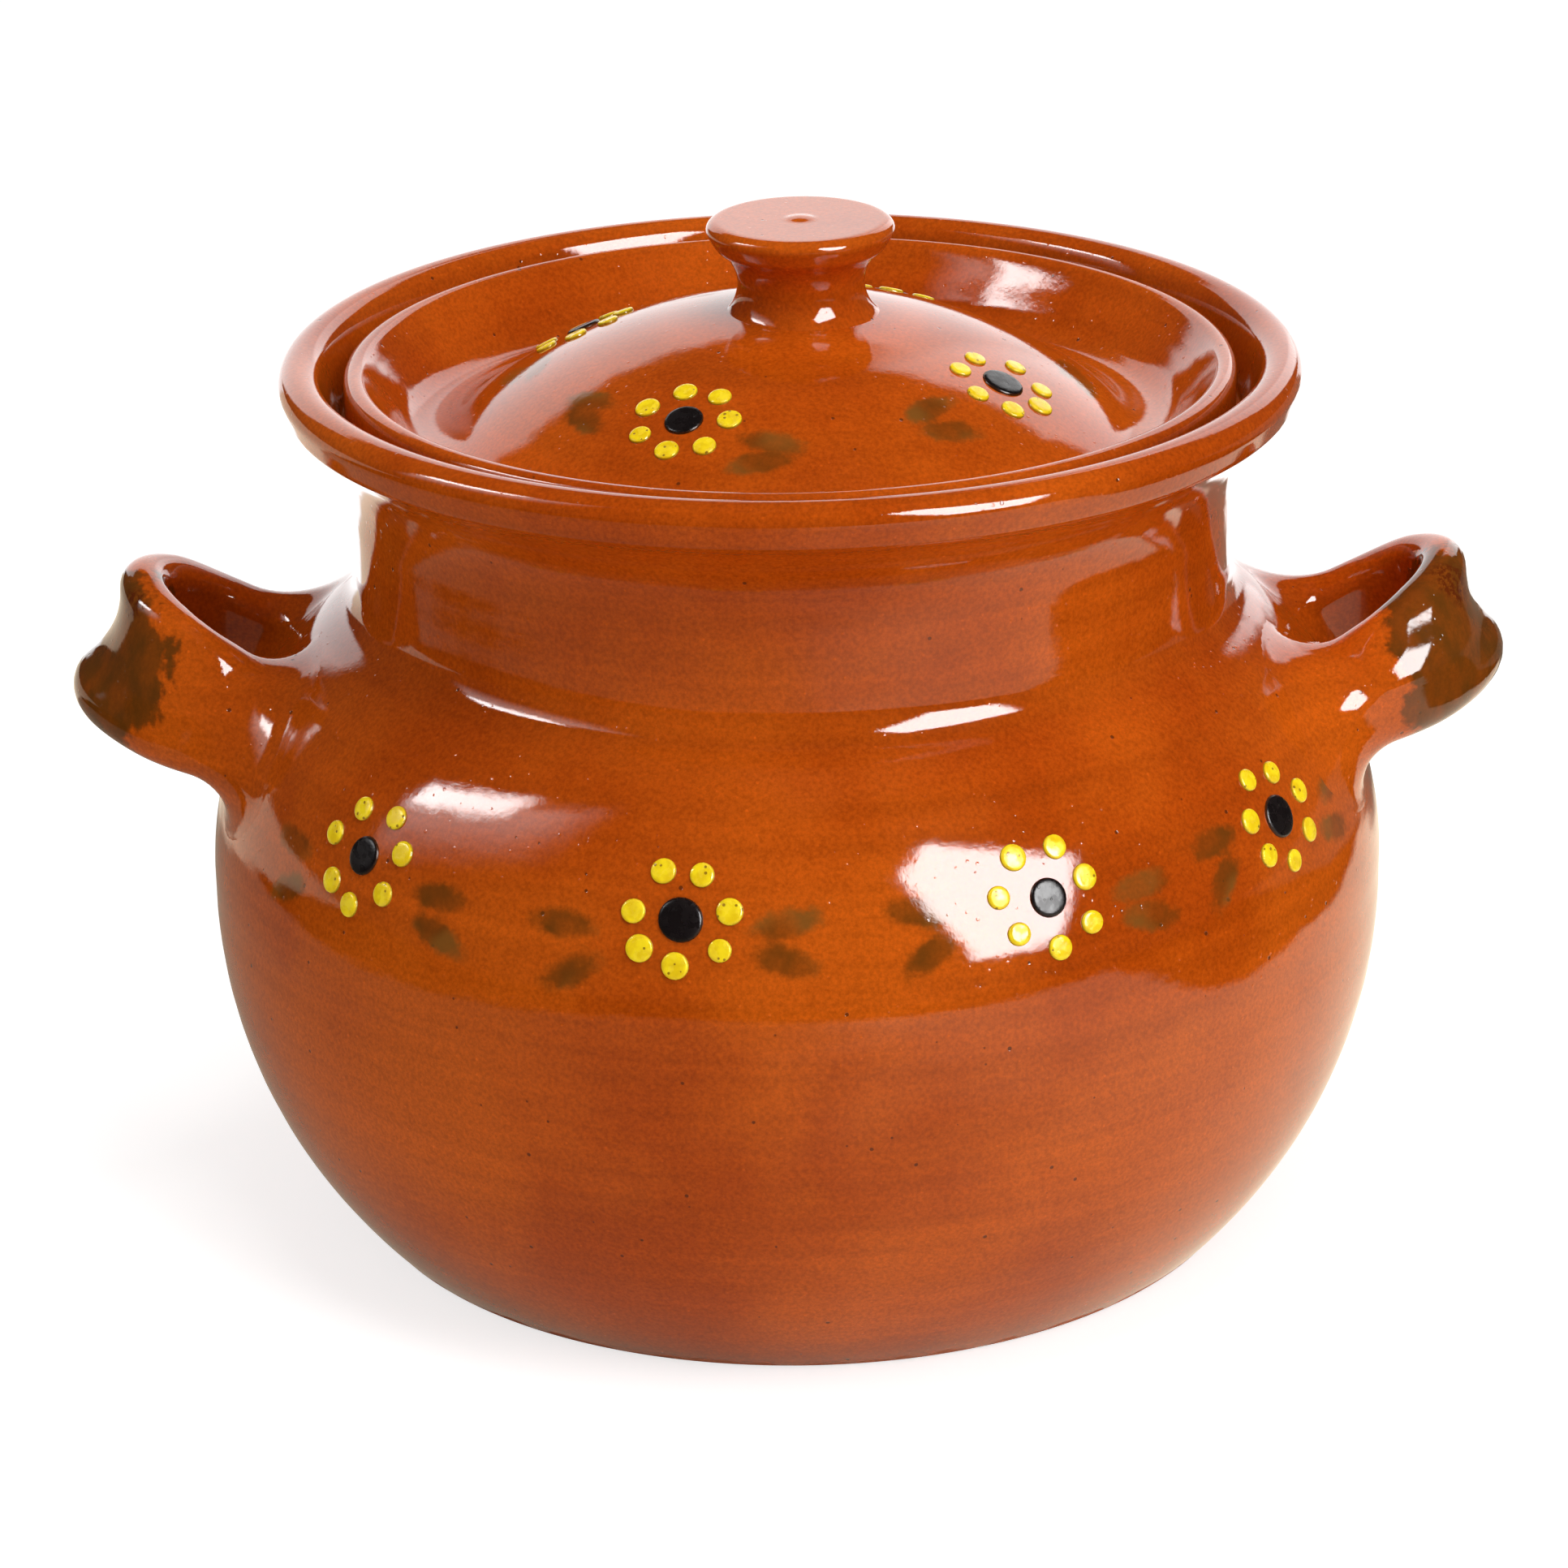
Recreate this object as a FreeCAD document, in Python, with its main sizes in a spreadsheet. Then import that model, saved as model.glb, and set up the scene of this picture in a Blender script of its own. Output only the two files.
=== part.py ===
# Glazed bean pot: a thrown pot with two strap handles and a lift-off lid that drops
# into the flared rim. Millimetres, +Z up, origin on the table under the middle of the
# foot, handles along X, front towards -Y.
import FreeCAD, Part
import math
import os
import Sketcher

doc = FreeCAD.newDocument("bean_pot")

SIZES = [
    # pot, outside
    ("belly_radius", 115.0),
    ("belly_low", 68.0),
    ("belly_band", 4.0),
    ("lower_curve", 97.0),
    ("foot_round", 3.0),
    ("shoulder_curve", 62.0),
    ("neck_curve", 12.0),
    ("neck_stem", 14.2),
    ("flare_curve", 22.0),
    ("rim_radius", 98.2),
    ("neck_inset", 13.6),
    ("lip_inset", 1.4),
    ("rim_depth", 8.7),
    ("rim_round", 4.2),
    # pot, inside
    ("pot_wall", 5.5),
    ("pot_floor", 8.0),
    ("rim_width", 11.7),
    ("ledge_depth", 13.4),
    ("ledge_round", 1.5),
    # lid
    ("seat_gap", 0.3),
    ("lid_play", 0.9),
    ("lid_rise", 11.0),
    ("lid_round", 2.2),
    ("lid_edge_round", 1.6),
    ("valley_inset", 15.6),
    ("valley_round", 8.0),
    ("dome_rise", 10.2),
    ("valley_depth", 16.4),
    ("dome_wall", 5.2),
    ("spigot_play", 0.9),
    ("spigot_depth", 7.5),
    # knob
    ("knob_radius", 18.1),
    ("knob_rise", 16.9),
    ("knob_edge", 2.2),
    ("knob_waist", 12.2),
    ("knob_waist_rise", 4.5),
    ("knob_curve", 8.0),
    ("knob_root", 7.4),
    ("knob_flare", 7.0),
    ("knob_shift", 2.4),
    ("knob_button", 2.9),
    ("knob_button_rise", 0.5),
    # handles
    ("loop_inset", 5.5),
    ("loop_radius", 17.0),
    ("strap_half", 4.5),
    ("strap_top", 46.5),
    ("strap_bottom", 20.5),
    ("strap_rise", 14.2),
    ("strap_lift", 9.0),
    ("lobe_half", 7.4),
    ("root_reach", 21.0),
    ("root_flare", 6.0),
    ("strap_lean", 18.0),
    ("left_lobe_reach", 7.3),
    ("left_bottom_drop", 0.8),
    ("right_lobe_reach", 4.8),
    ("right_bottom_drop", -2.4),
    # slip dots
    ("pot_flower_rise", 28.0),
    ("pot_ring_radius", 9.2),
    ("pot_petal", 2.4),
    ("pot_eye", 4.0),
    ("lid_flower_radius", 45.0),
    ("lid_ring_radius", 8.8),
    ("lid_petal", 2.3),
    ("lid_eye", 3.9),
    ("dot_rise", 0.8),
    ("dot_round", 0.5),
]

# Sizes that follow from those above, so that what fits together stays together.
WORKED_OUT = [
    ("belly_high", "sizes.belly_low + sizes.belly_band"),
    ("neck_radius", "sizes.rim_radius - sizes.neck_inset"),
    ("shoulder_out", "sizes.belly_radius - sizes.shoulder_curve"),
    ("hollow_out", "neck_radius + sizes.neck_curve"),
    ("hollow_high", "belly_high + sqrt((sizes.shoulder_curve + sizes.neck_curve)^2"
                    " - (hollow_out - shoulder_out)^2)"),
    ("neck_top", "hollow_high + sizes.neck_stem"),
    ("flare_out", "neck_radius + sizes.flare_curve"),
    ("lip_radius", "sizes.rim_radius - sizes.lip_inset"),
    ("lip_high", "neck_top + sqrt(sizes.flare_curve^2 - (flare_out - lip_radius)^2)"),
    ("rim_top", "lip_high + sizes.rim_depth"),
    ("mouth_radius", "sizes.rim_radius - sizes.rim_width"),
    ("throat_radius", "neck_radius - sizes.pot_wall"),
    ("ledge_high", "rim_top - sizes.ledge_depth"),
    ("lid_seat", "ledge_high + sizes.seat_gap"),
    ("lid_radius", "mouth_radius - sizes.lid_play"),
    ("lid_top", "lid_seat + sizes.lid_rise"),
    ("crown", "lid_top + sizes.dome_rise"),
    ("valley_radius", "lid_radius - sizes.valley_inset"),
    ("dome_high", "sizes.dome_rise + sizes.valley_depth"),
    ("dome_curve", "(valley_radius^2 + dome_high^2) / (2 * dome_high)"),
    ("ball_high", "crown - dome_curve"),
    ("spigot_radius", "throat_radius - sizes.spigot_play"),
    ("spigot_low", "ledge_high - sizes.spigot_depth"),
    ("loop_out", "sizes.belly_radius - sizes.loop_inset"),
]

sizes = doc.addObject("Spreadsheet::Sheet", "sizes")
for row, (alias, number) in enumerate(SIZES, start=1):
    sizes.set("A%d" % row, alias)
    sizes.set("B%d" % row, str(number))
    sizes.setAlias("B%d" % row, alias)
doc.recompute()
worked = doc.addObject("Spreadsheet::Sheet", "worked")
for row, (alias, formula) in enumerate(WORKED_OUT, start=1):
    worked.set("A%d" % row, alias)
    worked.set("B%d" % row, "=" + formula)
    worked.setAlias("B%d" % row, alias)
doc.recompute()


def size(alias):
    owner = sizes if alias in dict(SIZES) else worked
    return float(owner.get(alias))


def planeOf(body, role):
    for feature in body.Origin.OriginFeatures:
        if feature.Role == role:
            return feature
    raise ValueError(role)


def newBody(label):
    body = doc.addObject("PartDesign::Body", label)
    body.Label = label
    return body


def arcBetween(centre, start, end, turn):
    """Arc of a circle in the sketch plane; turn is +1 for anticlockwise."""
    radius = math.hypot(start[0] - centre[0], start[1] - centre[1])
    first = math.atan2(start[1] - centre[1], start[0] - centre[0])
    last = math.atan2(end[1] - centre[1], end[0] - centre[0])
    if turn < 0:
        first, last = last, first
    if last <= first:
        last += 2 * math.pi
    axis = FreeCAD.Vector(0, 0, 1)
    circle = Part.Circle(FreeCAD.Vector(centre[0], centre[1], 0), axis, radius)
    return Part.ArcOfCircle(circle, first, last)


class Outline:
    """A chain of lines and arcs in one sketch, drawn at its size and then held there
    by constraints that read the sheets."""

    def __init__(self, body, name):
        self.sketch = body.newObject("Sketcher::SketchObject", name)
        self.sketch.AttachmentSupport = [(planeOf(body, "XZ_Plane"), "")]
        self.sketch.MapMode = "FlatFace"
        self.chain = []
        self.at = None

    def start(self, x, y):
        self.at = (x, y)

    def join(self, index, begin, end, smooth):
        if self.chain:
            before, _, tail = self.chain[-1]
            self.add("Tangent" if smooth else "Coincident", before, tail, index, begin)
        self.chain.append((index, begin, end))
        return index

    def line(self, x, y, smooth=False):
        a = FreeCAD.Vector(self.at[0], self.at[1], 0)
        b = FreeCAD.Vector(x, y, 0)
        index = self.sketch.addGeometry(Part.LineSegment(a, b), False)
        self.at = (x, y)
        return self.join(index, 1, 2, smooth)

    def arc(self, centre, x, y, turn, smooth=False):
        index = self.sketch.addGeometry(arcBetween(centre, self.at, (x, y), turn), False)
        self.at = (x, y)
        begin, end = (1, 2) if turn > 0 else (2, 1)
        return self.join(index, begin, end, smooth)

    def close(self):
        first, begin, _ = self.chain[0]
        last, _, tail = self.chain[-1]
        self.add("Coincident", last, tail, first, begin)

    def add(self, *parts):
        return self.sketch.addConstraint(Sketcher.Constraint(*parts))

    def hold(self, formula, *parts):
        number = self.add(*parts, float(self.sketch.evalExpression(formula)))
        self.sketch.setExpression("Constraints[%d]" % number, formula)

    def across(self, index, point, formula):
        self.hold(formula, "DistanceX", -1, 1, index, point)

    def up(self, index, point, formula):
        self.hold(formula, "DistanceY", -1, 1, index, point)

    def radius(self, index, formula):
        self.hold(formula, "Radius", index)

    def onAxis(self, index, point):
        self.add("PointOnObject", index, point, -2)

    def end(self, index):
        return [tail for number, _, tail in self.chain if number == index][0]


def outerWall(drawing):
    """The thrown outside, from the middle of the foot up to the top of the neck."""
    belly = size("belly_radius")
    low = size("belly_low")
    lower = size("lower_curve")
    shoulder = size("shoulder_curve")
    lowerAt = (belly - lower, low)
    shoulderAt = (size("shoulder_out"), size("belly_high"))
    hollowAt = (size("hollow_out"), size("hollow_high"))
    foot = lowerAt[0] + math.sqrt(lower ** 2 - low ** 2)
    share = shoulder / (shoulder + size("neck_curve"))
    meetX = shoulderAt[0] + share * (hollowAt[0] - shoulderAt[0])
    meetY = shoulderAt[1] + share * (hollowAt[1] - shoulderAt[1])
    drawing.start(0, 0)
    base = drawing.line(foot, 0)
    under = drawing.arc(lowerAt, belly, low, 1)
    band = drawing.line(belly, shoulderAt[1], smooth=True)
    over = drawing.arc(shoulderAt, meetX, meetY, 1, smooth=True)
    dip = drawing.arc(hollowAt, size("neck_radius"), hollowAt[1], -1, smooth=True)
    stem = drawing.line(size("neck_radius"), size("neck_top"), smooth=True)
    drawing.add("Coincident", base, 1, -1, 1)
    drawing.add("Horizontal", base)
    drawing.add("Vertical", band)
    drawing.add("Vertical", stem)
    drawing.across(band, 1, "sizes.belly_radius")
    drawing.up(band, 1, "sizes.belly_low")
    drawing.up(band, 2, "worked.belly_high")
    drawing.radius(under, "sizes.lower_curve")
    drawing.radius(over, "sizes.shoulder_curve")
    drawing.radius(dip, "sizes.neck_curve")
    drawing.across(stem, 2, "worked.neck_radius")
    drawing.up(stem, 2, "worked.neck_top")
    return under, over, dip


def coreOutline(body, name):
    """The room that the pot fills below the top of its neck, as one closed outline."""
    drawing = Outline(body, name)
    outerWall(drawing)
    top = drawing.line(0, size("neck_top"))
    drawing.line(0, 0)
    drawing.close()
    drawing.add("Horizontal", top)
    drawing.onAxis(top, 2)
    return drawing


def spin(body, drawing, name, kind="PartDesign::Revolution"):
    feature = body.newObject(kind, name)
    feature.Profile = drawing.sketch
    feature.ReferenceAxis = (drawing.sketch, ["V_Axis"])
    feature.Angle = 360
    doc.recompute()
    return feature


def ringAt(shape, radius, height):
    """Names of the circular edges about Z with this radius and height."""
    names = []
    for number, edge in enumerate(shape.Edges, start=1):
        if edge.Degenerated or not isinstance(edge.Curve, Part.Circle):
            continue
        ring = edge.Curve
        if abs(ring.Radius - radius) < 0.02 and abs(ring.Center.z - height) < 0.02:
            names.append("Edge%d" % number)
    if not names:
        raise ValueError("no edge of radius %.2f at height %.2f" % (radius, height))
    return names


def roundEdges(body, base, name, edges, formula):
    fillet = body.newObject("PartDesign::Fillet", name)
    fillet.Base = (base, edges)
    fillet.setExpression("Radius", formula)
    doc.recompute()
    return fillet


def tangentFrom(point, centre, radius):
    """Where a line from the point meets the circle, on the side nearer the axis."""
    far = math.hypot(point[0] - centre[0], point[1] - centre[1])
    facing = math.atan2(point[1] - centre[1], point[0] - centre[0])
    facing -= math.acos(radius / far)
    return centre[0] + radius * math.cos(facing), centre[1] + radius * math.sin(facing)


# ---------------------------------------------------------------- pot body
# One revolved wall: rounded belly, shoulder, waisted neck, flared mouth with a
# rolled rim, and inside the mouth a ledge that the lid rests on.
pot = newBody("pot_body")
wall = Outline(pot, "pot_profile")
under, over, dip = outerWall(wall)

thick = size("pot_wall")
belly = size("belly_radius")
flareAt = (size("flare_out"), size("neck_top"))
rollAt = (size("rim_radius") - size("rim_round"), size("rim_top") - size("rim_round"))
mouth = (size("mouth_radius"), size("ledge_high"))
throat = size("throat_radius")
lip = tangentFrom(mouth, rollAt, size("rim_round"))
lowerAt = (belly - size("lower_curve"), size("belly_low"))
shoulderAt = (size("shoulder_out"), size("belly_high"))
hollowAt = (size("hollow_out"), size("hollow_high"))
innerLower = size("lower_curve") - thick
floorX = lowerAt[0] + math.sqrt(innerLower ** 2 - (lowerAt[1] - size("pot_floor")) ** 2)
share = (size("shoulder_curve") - thick) / (size("shoulder_curve") + size("neck_curve"))
innerX = shoulderAt[0] + share * (hollowAt[0] - shoulderAt[0])
innerY = shoulderAt[1] + share * (hollowAt[1] - shoulderAt[1])

flare = wall.arc(flareAt, size("lip_radius"), size("lip_high"), -1, smooth=True)
lipFace = wall.line(size("rim_radius"), rollAt[1])
roll = wall.arc(rollAt, lip[0], lip[1], 1)
funnel = wall.line(mouth[0], mouth[1], smooth=True)
seat = wall.line(throat, mouth[1])
gullet = wall.line(throat, hollowAt[1])
innerDip = wall.arc(hollowAt, innerX, innerY, 1, smooth=True)
innerOver = wall.arc(shoulderAt, belly - thick, shoulderAt[1], -1, smooth=True)
innerBand = wall.line(belly - thick, lowerAt[1], smooth=True)
innerUnder = wall.arc(lowerAt, floorX, size("pot_floor"), -1, smooth=True)
bottom = wall.line(0, size("pot_floor"))
wall.line(0, 0)
wall.close()
wall.radius(flare, "sizes.flare_curve")
wall.across(flare, wall.end(flare), "worked.lip_radius")
wall.across(lipFace, 2, "sizes.rim_radius")
wall.up(lipFace, 2, "worked.rim_top - sizes.rim_round")
wall.radius(roll, "sizes.rim_round")
wall.up(roll, 3, "worked.rim_top - sizes.rim_round")
wall.across(funnel, 2, "worked.mouth_radius")
wall.up(funnel, 2, "worked.ledge_high")
wall.add("Horizontal", seat)
wall.add("Vertical", gullet)
wall.add("Coincident", innerDip, 3, dip, 3)
wall.add("Coincident", innerOver, 3, over, 3)
wall.across(innerBand, 1, "sizes.belly_radius - sizes.pot_wall")
wall.add("Vertical", innerBand)
wall.add("Coincident", innerUnder, 3, under, 3)
wall.up(bottom, 1, "sizes.pot_floor")
wall.add("Horizontal", bottom)
wall.onAxis(bottom, 2)
thrown = spin(pot, wall, "pot_wall")
foot = lowerAt[0] + math.sqrt(size("lower_curve") ** 2 - lowerAt[1] ** 2)
footed = roundEdges(pot, thrown, "foot_edge", ringAt(thrown.Shape, foot, 0),
                    "sizes.foot_round")
seated = roundEdges(pot, footed, "ledge_corner",
                    ringAt(footed.Shape, throat, mouth[1]), "sizes.ledge_round")
roundEdges(pot, seated, "floor_corner",
           ringAt(seated.Shape, floorX, size("pot_floor")), "sizes.pot_floor")


# --------------------------------------------------------------------- lid
# Thrown upside down as one plate: hollow dome in the middle, a valley round it and
# an upturned rounded edge. Its flange sits on the pot's ledge and the spigot below
# the flange drops into the neck.
lid = newBody("lid")
plate = Outline(lid, "lid_profile")
ball = size("dome_curve")
ballAt = (0.0, size("ball_high"))
valley = size("valley_radius")
valleyY = ballAt[1] + math.sqrt(ball ** 2 - valley ** 2)
crestAt = (size("lid_radius") - size("lid_round"), size("lid_top") - size("lid_round"))
crest = tangentFrom((valley, valleyY), crestAt, size("lid_round"))
hollowX = valley - size("dome_wall")
hollowY = ballAt[1] + math.sqrt((ball - size("dome_wall")) ** 2 - hollowX ** 2)
spigot = size("spigot_radius")

plate.start(0, size("crown"))
dome = plate.arc(ballAt, valley, valleyY, -1)
bank = plate.line(crest[0], crest[1])
crestArc = plate.arc(crestAt, size("lid_radius"), crestAt[1], -1, smooth=True)
edgeWall = plate.line(size("lid_radius"), size("lid_seat"), smooth=True)
flange = plate.line(spigot, size("lid_seat"))
spigotWall = plate.line(spigot, size("spigot_low"))
chin = plate.line(hollowX, hollowY)
innerDome = plate.arc(ballAt, 0, size("crown") - size("dome_wall"), 1)
plate.line(0, size("crown"))
plate.close()
plate.onAxis(dome, 3)
plate.onAxis(dome, 2)
plate.radius(dome, "worked.dome_curve")
plate.up(dome, 2, "worked.crown")
plate.across(bank, 1, "worked.valley_radius")
plate.radius(crestArc, "sizes.lid_round")
plate.up(crestArc, 3, "worked.lid_top - sizes.lid_round")
plate.add("Vertical", edgeWall)
plate.across(edgeWall, 2, "worked.lid_radius")
plate.up(edgeWall, 2, "worked.lid_seat")
plate.add("Horizontal", flange)
plate.add("Vertical", spigotWall)
plate.across(spigotWall, 2, "worked.spigot_radius")
plate.up(spigotWall, 2, "worked.spigot_low")
plate.across(chin, 2, "worked.valley_radius - sizes.dome_wall")
plate.add("Coincident", innerDome, 3, dome, 3)
plate.radius(innerDome, "worked.dome_curve - sizes.dome_wall")
plate.onAxis(innerDome, 2)
turned = spin(lid, plate, "lid_plate")
dished = roundEdges(lid, turned, "valley", ringAt(turned.Shape, valley, valleyY),
                    "sizes.valley_round")
edged = roundEdges(lid, dished, "flange_edge",
                   ringAt(dished.Shape, size("lid_radius"), size("lid_seat")),
                   "sizes.lid_edge_round")
roundEdges(lid, edged, "spigot_edge", ringAt(edged.Shape, spigot, size("spigot_low")),
           "sizes.lid_edge_round")


# -------------------------------------------------------------------- knob
# Thrown separately and luted on a little off centre: a waisted stem under a flat
# disc with a small button where the clay left the wheel.
knob = newBody("lid_knob")
turning = Outline(knob, "knob_profile")
knobTop = size("crown") + size("knob_rise")
curve = size("knob_curve")
waistAt = (size("knob_waist") + curve, size("crown") + size("knob_waist_rise"))
rootX = waistAt[0] - math.sqrt(curve ** 2 - size("knob_root") ** 2)
rootY = waistAt[1] - size("knob_root")
flareX = waistAt[0] - math.sqrt(curve ** 2 - size("knob_flare") ** 2)
flareY = waistAt[1] + size("knob_flare")
beadAt = (size("knob_radius") - size("knob_edge"), knobTop - size("knob_edge"))
button = size("knob_button")
rise = size("knob_button_rise")
swell = (button ** 2 + rise ** 2) / (2 * rise)

turning.start(0, rootY)
root = turning.line(rootX, rootY)
waist = turning.arc(waistAt, flareX, flareY, -1)
skirt = turning.line(size("knob_radius"), beadAt[1])
beadArc = turning.arc(beadAt, beadAt[0], knobTop, 1)
top = turning.line(button, knobTop, smooth=True)
buttonArc = turning.arc((0, knobTop + rise - swell), 0, knobTop + rise, 1)
turning.line(0, rootY)
turning.close()
turning.add("Horizontal", root)
turning.onAxis(root, 1)
turning.radius(waist, "sizes.knob_curve")
turning.across(waist, 3, "sizes.knob_waist + sizes.knob_curve")
turning.up(waist, 3, "worked.crown + sizes.knob_waist_rise")
turning.up(root, 1, "worked.crown + sizes.knob_waist_rise - sizes.knob_root")
turning.up(skirt, 1, "worked.crown + sizes.knob_waist_rise + sizes.knob_flare")
turning.across(skirt, 2, "sizes.knob_radius")
turning.up(skirt, 2, "worked.crown + sizes.knob_rise - sizes.knob_edge")
turning.radius(beadArc, "sizes.knob_edge")
turning.up(beadArc, 3, "worked.crown + sizes.knob_rise - sizes.knob_edge")
turning.add("Horizontal", top)
turning.across(top, 2, "sizes.knob_button")
turning.up(buttonArc, 2, "worked.crown + sizes.knob_rise + sizes.knob_button_rise")
turning.onAxis(buttonArc, 3)
turning.onAxis(buttonArc, 2)
turning.sketch.setExpression("AttachmentOffset.Base.x", "sizes.knob_shift")
spin(knob, turning, "knob_turned")
luting = knob.newObject("PartDesign::SubtractiveSphere", "luting_face")
luting.setExpression("Radius", "worked.dome_curve")
luting.setExpression("Placement.Base.z", "worked.ball_high")
doc.recompute()


# ----------------------------------------------------------------- handles
# A strap of clay bent into a loop on each side of the shoulder, set on edge and
# rising outwards. Its legs lean, with the lower edge out, to run into the shoulder,
# and it is pinched at the end of the loop, so the lower edge turns out in a lobe.
# Each station: name, turn about the loop's middle in degrees, how far it is drawn
# back to the pot, then the shares of rise, lift, lobe, lean and flare that it has.
STATIONS = [
    ("front_root", -90, 1.0, -0.85, -0.25, 0.05, 1.0, 0.8),
    ("front_wall", -90, 0.33, -0.1, 0.08, 0.05, 1.0, 0.3),
    ("front_leg", -90, 0.0, 0.28, 0.26, 0.05, 0.9, 0.0),
    ("front_bend", -45, 0.0, 0.8, 0.7, 0.3, 0.5, 0.0),
    ("end", 0, 0.0, 1.0, 1.0, 1.0, 0.0, 0.0),
    ("back_bend", 45, 0.0, 0.8, 0.66, 0.3, 0.3, 0.0),
    ("back_leg", 90, 0.0, 0.28, 0.18, 0.05, 0.4, 0.0),
    ("back_wall", 90, 0.33, 0.0, 0.0, 0.05, 0.4, 0.4),
    ("back_root", 90, 1.0, -0.55, -0.3, 0.05, 0.4, 1.0),
]


def strapSection(body, hand, side, station):
    """The strap cut across at one station: a strip on edge, rounded above and below
    and hollowed outwards by the pinch, leaning about its upper roll."""
    name, turn, back, rise, lift, lobe, lean, flare = station
    slope = "(%g * sizes.strap_lean)" % lean
    upper = "(sizes.strap_half + %g * sizes.root_flare)" % (0.3 * flare)
    lower = "(%s + %g * (sizes.lobe_half - sizes.strap_half))" % (upper, lobe)
    top = ("(worked.belly_high + sizes.strap_top + %g * sizes.strap_rise"
           " + %g * sizes.root_flare - %s)" % (rise, 0.3 * flare, upper))
    bottom = ("(worked.belly_high + sizes.strap_bottom + %g * sizes.strap_lift"
              " - %g * sizes.root_flare - sizes.%s_bottom_drop + %s)"
              % (lift, flare, hand, lower))
    reach = "(%g * sizes.%s_lobe_reach)" % (lobe, hand)
    out = "(sizes.loop_radius + %s * cos(%s) + (%s - %s) * sin(%s))" % (
        reach, slope, top, bottom, slope)
    under_high = "(%s + %s * sin(%s) - (%s - %s) * cos(%s))" % (
        top, reach, slope, top, bottom, slope)
    draft = Outline(body, "%s_%s" % (body.Label, name))
    measure = draft.sketch.evalExpression
    r1 = float(measure(upper))
    r2 = float(measure(lower))
    x1 = size("loop_radius")
    y1 = float(measure(top))
    tilt = math.radians(float(measure(slope)))

    def leant(x, y):
        """A point given from the middle of the upper roll, as it lies in the sketch."""
        return (x1 + x * math.cos(tilt) - y * math.sin(tilt),
                y1 + x * math.sin(tilt) + y * math.cos(tilt))

    # the hollow of the pinch leaves the upper roll upright and runs into the lobe
    x2 = float(measure(reach))
    y2 = float(measure(bottom)) - y1
    aside = r1 - x2
    pinch = (aside ** 2 + y2 ** 2 - r2 ** 2) / (2 * (r2 - aside))
    share = r2 / (pinch + r2)
    draft.start(*leant(r1, 0))
    face = draft.arc(leant(r1 + pinch, 0), *leant(x2 + share * (aside + pinch),
                                                  y2 * (1 - share)), 1)
    under = draft.arc(leant(x2, y2), *leant(x2 - r2, y2), -1, smooth=True)
    draft.line(*leant(-r1, 0))
    over = draft.arc((x1, y1), *leant(r1, 0), -1)
    draft.add("Tangent", over, 1, face, 1)
    draft.across(over, 3, "sizes.loop_radius")
    draft.up(over, 3, top)
    draft.radius(over, upper)
    draft.up(over, 1, "%s + %s * sin(%s)" % (top, upper, slope))
    draft.up(over, 2, "%s - %s * sin(%s)" % (top, upper, slope))
    draft.across(under, 3, out)
    draft.up(under, 3, under_high)
    draft.radius(under, lower)
    draft.up(under, 1, "%s - %s * sin(%s)" % (under_high, lower, slope))
    draft.sketch.AttachmentOffset = FreeCAD.Placement(
        FreeCAD.Vector(0, 0, 0), FreeCAD.Rotation(FreeCAD.Vector(0, 1, 0), side * turn))
    draft.sketch.setExpression("AttachmentOffset.Base.x",
                               "worked.loop_out - %g * sizes.root_reach" % back)
    return draft.sketch


def strapHandle(hand, side, facing):
    body = newBody("handle_" + hand)
    sections = [strapSection(body, hand, side, station) for station in STATIONS]
    doc.recompute()
    strap = body.newObject("PartDesign::AdditiveLoft", body.Label + "_strap")
    strap.Profile = sections[0]
    strap.Sections = sections[1:]
    doc.recompute()
    inside = coreOutline(body, body.Label + "_pot_side")
    spin(body, inside, body.Label + "_seat", "PartDesign::Groove")
    body.Placement = FreeCAD.Placement(
        FreeCAD.Vector(0, 0, 0), FreeCAD.Rotation(FreeCAD.Vector(0, 0, 1), facing))
    return body


handleRight = strapHandle("right", 1, 0)
handleLeft = strapHandle("left", -1, 180)


# --------------------------------------------------------------- slip dots
# Flowers trailed in thick slip before glazing: seven yellow dots round a black one.
# Each dot stands on the wall as a low disc with a rounded edge. Four flowers in front
# and four behind on the shoulder, between the handles, and four round the dome, at
# these angles from the front.
POT_ANGLES = [-47.4, -11.3, 24.4, 55.7, 132.6, 168.7, 204.4, 235.7]
LID_ANGLES = [-26.2, 63.0, 153.0, 243.0]
PETALS = 7
FIRST_PETAL_ANGLE = 14.0


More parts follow.
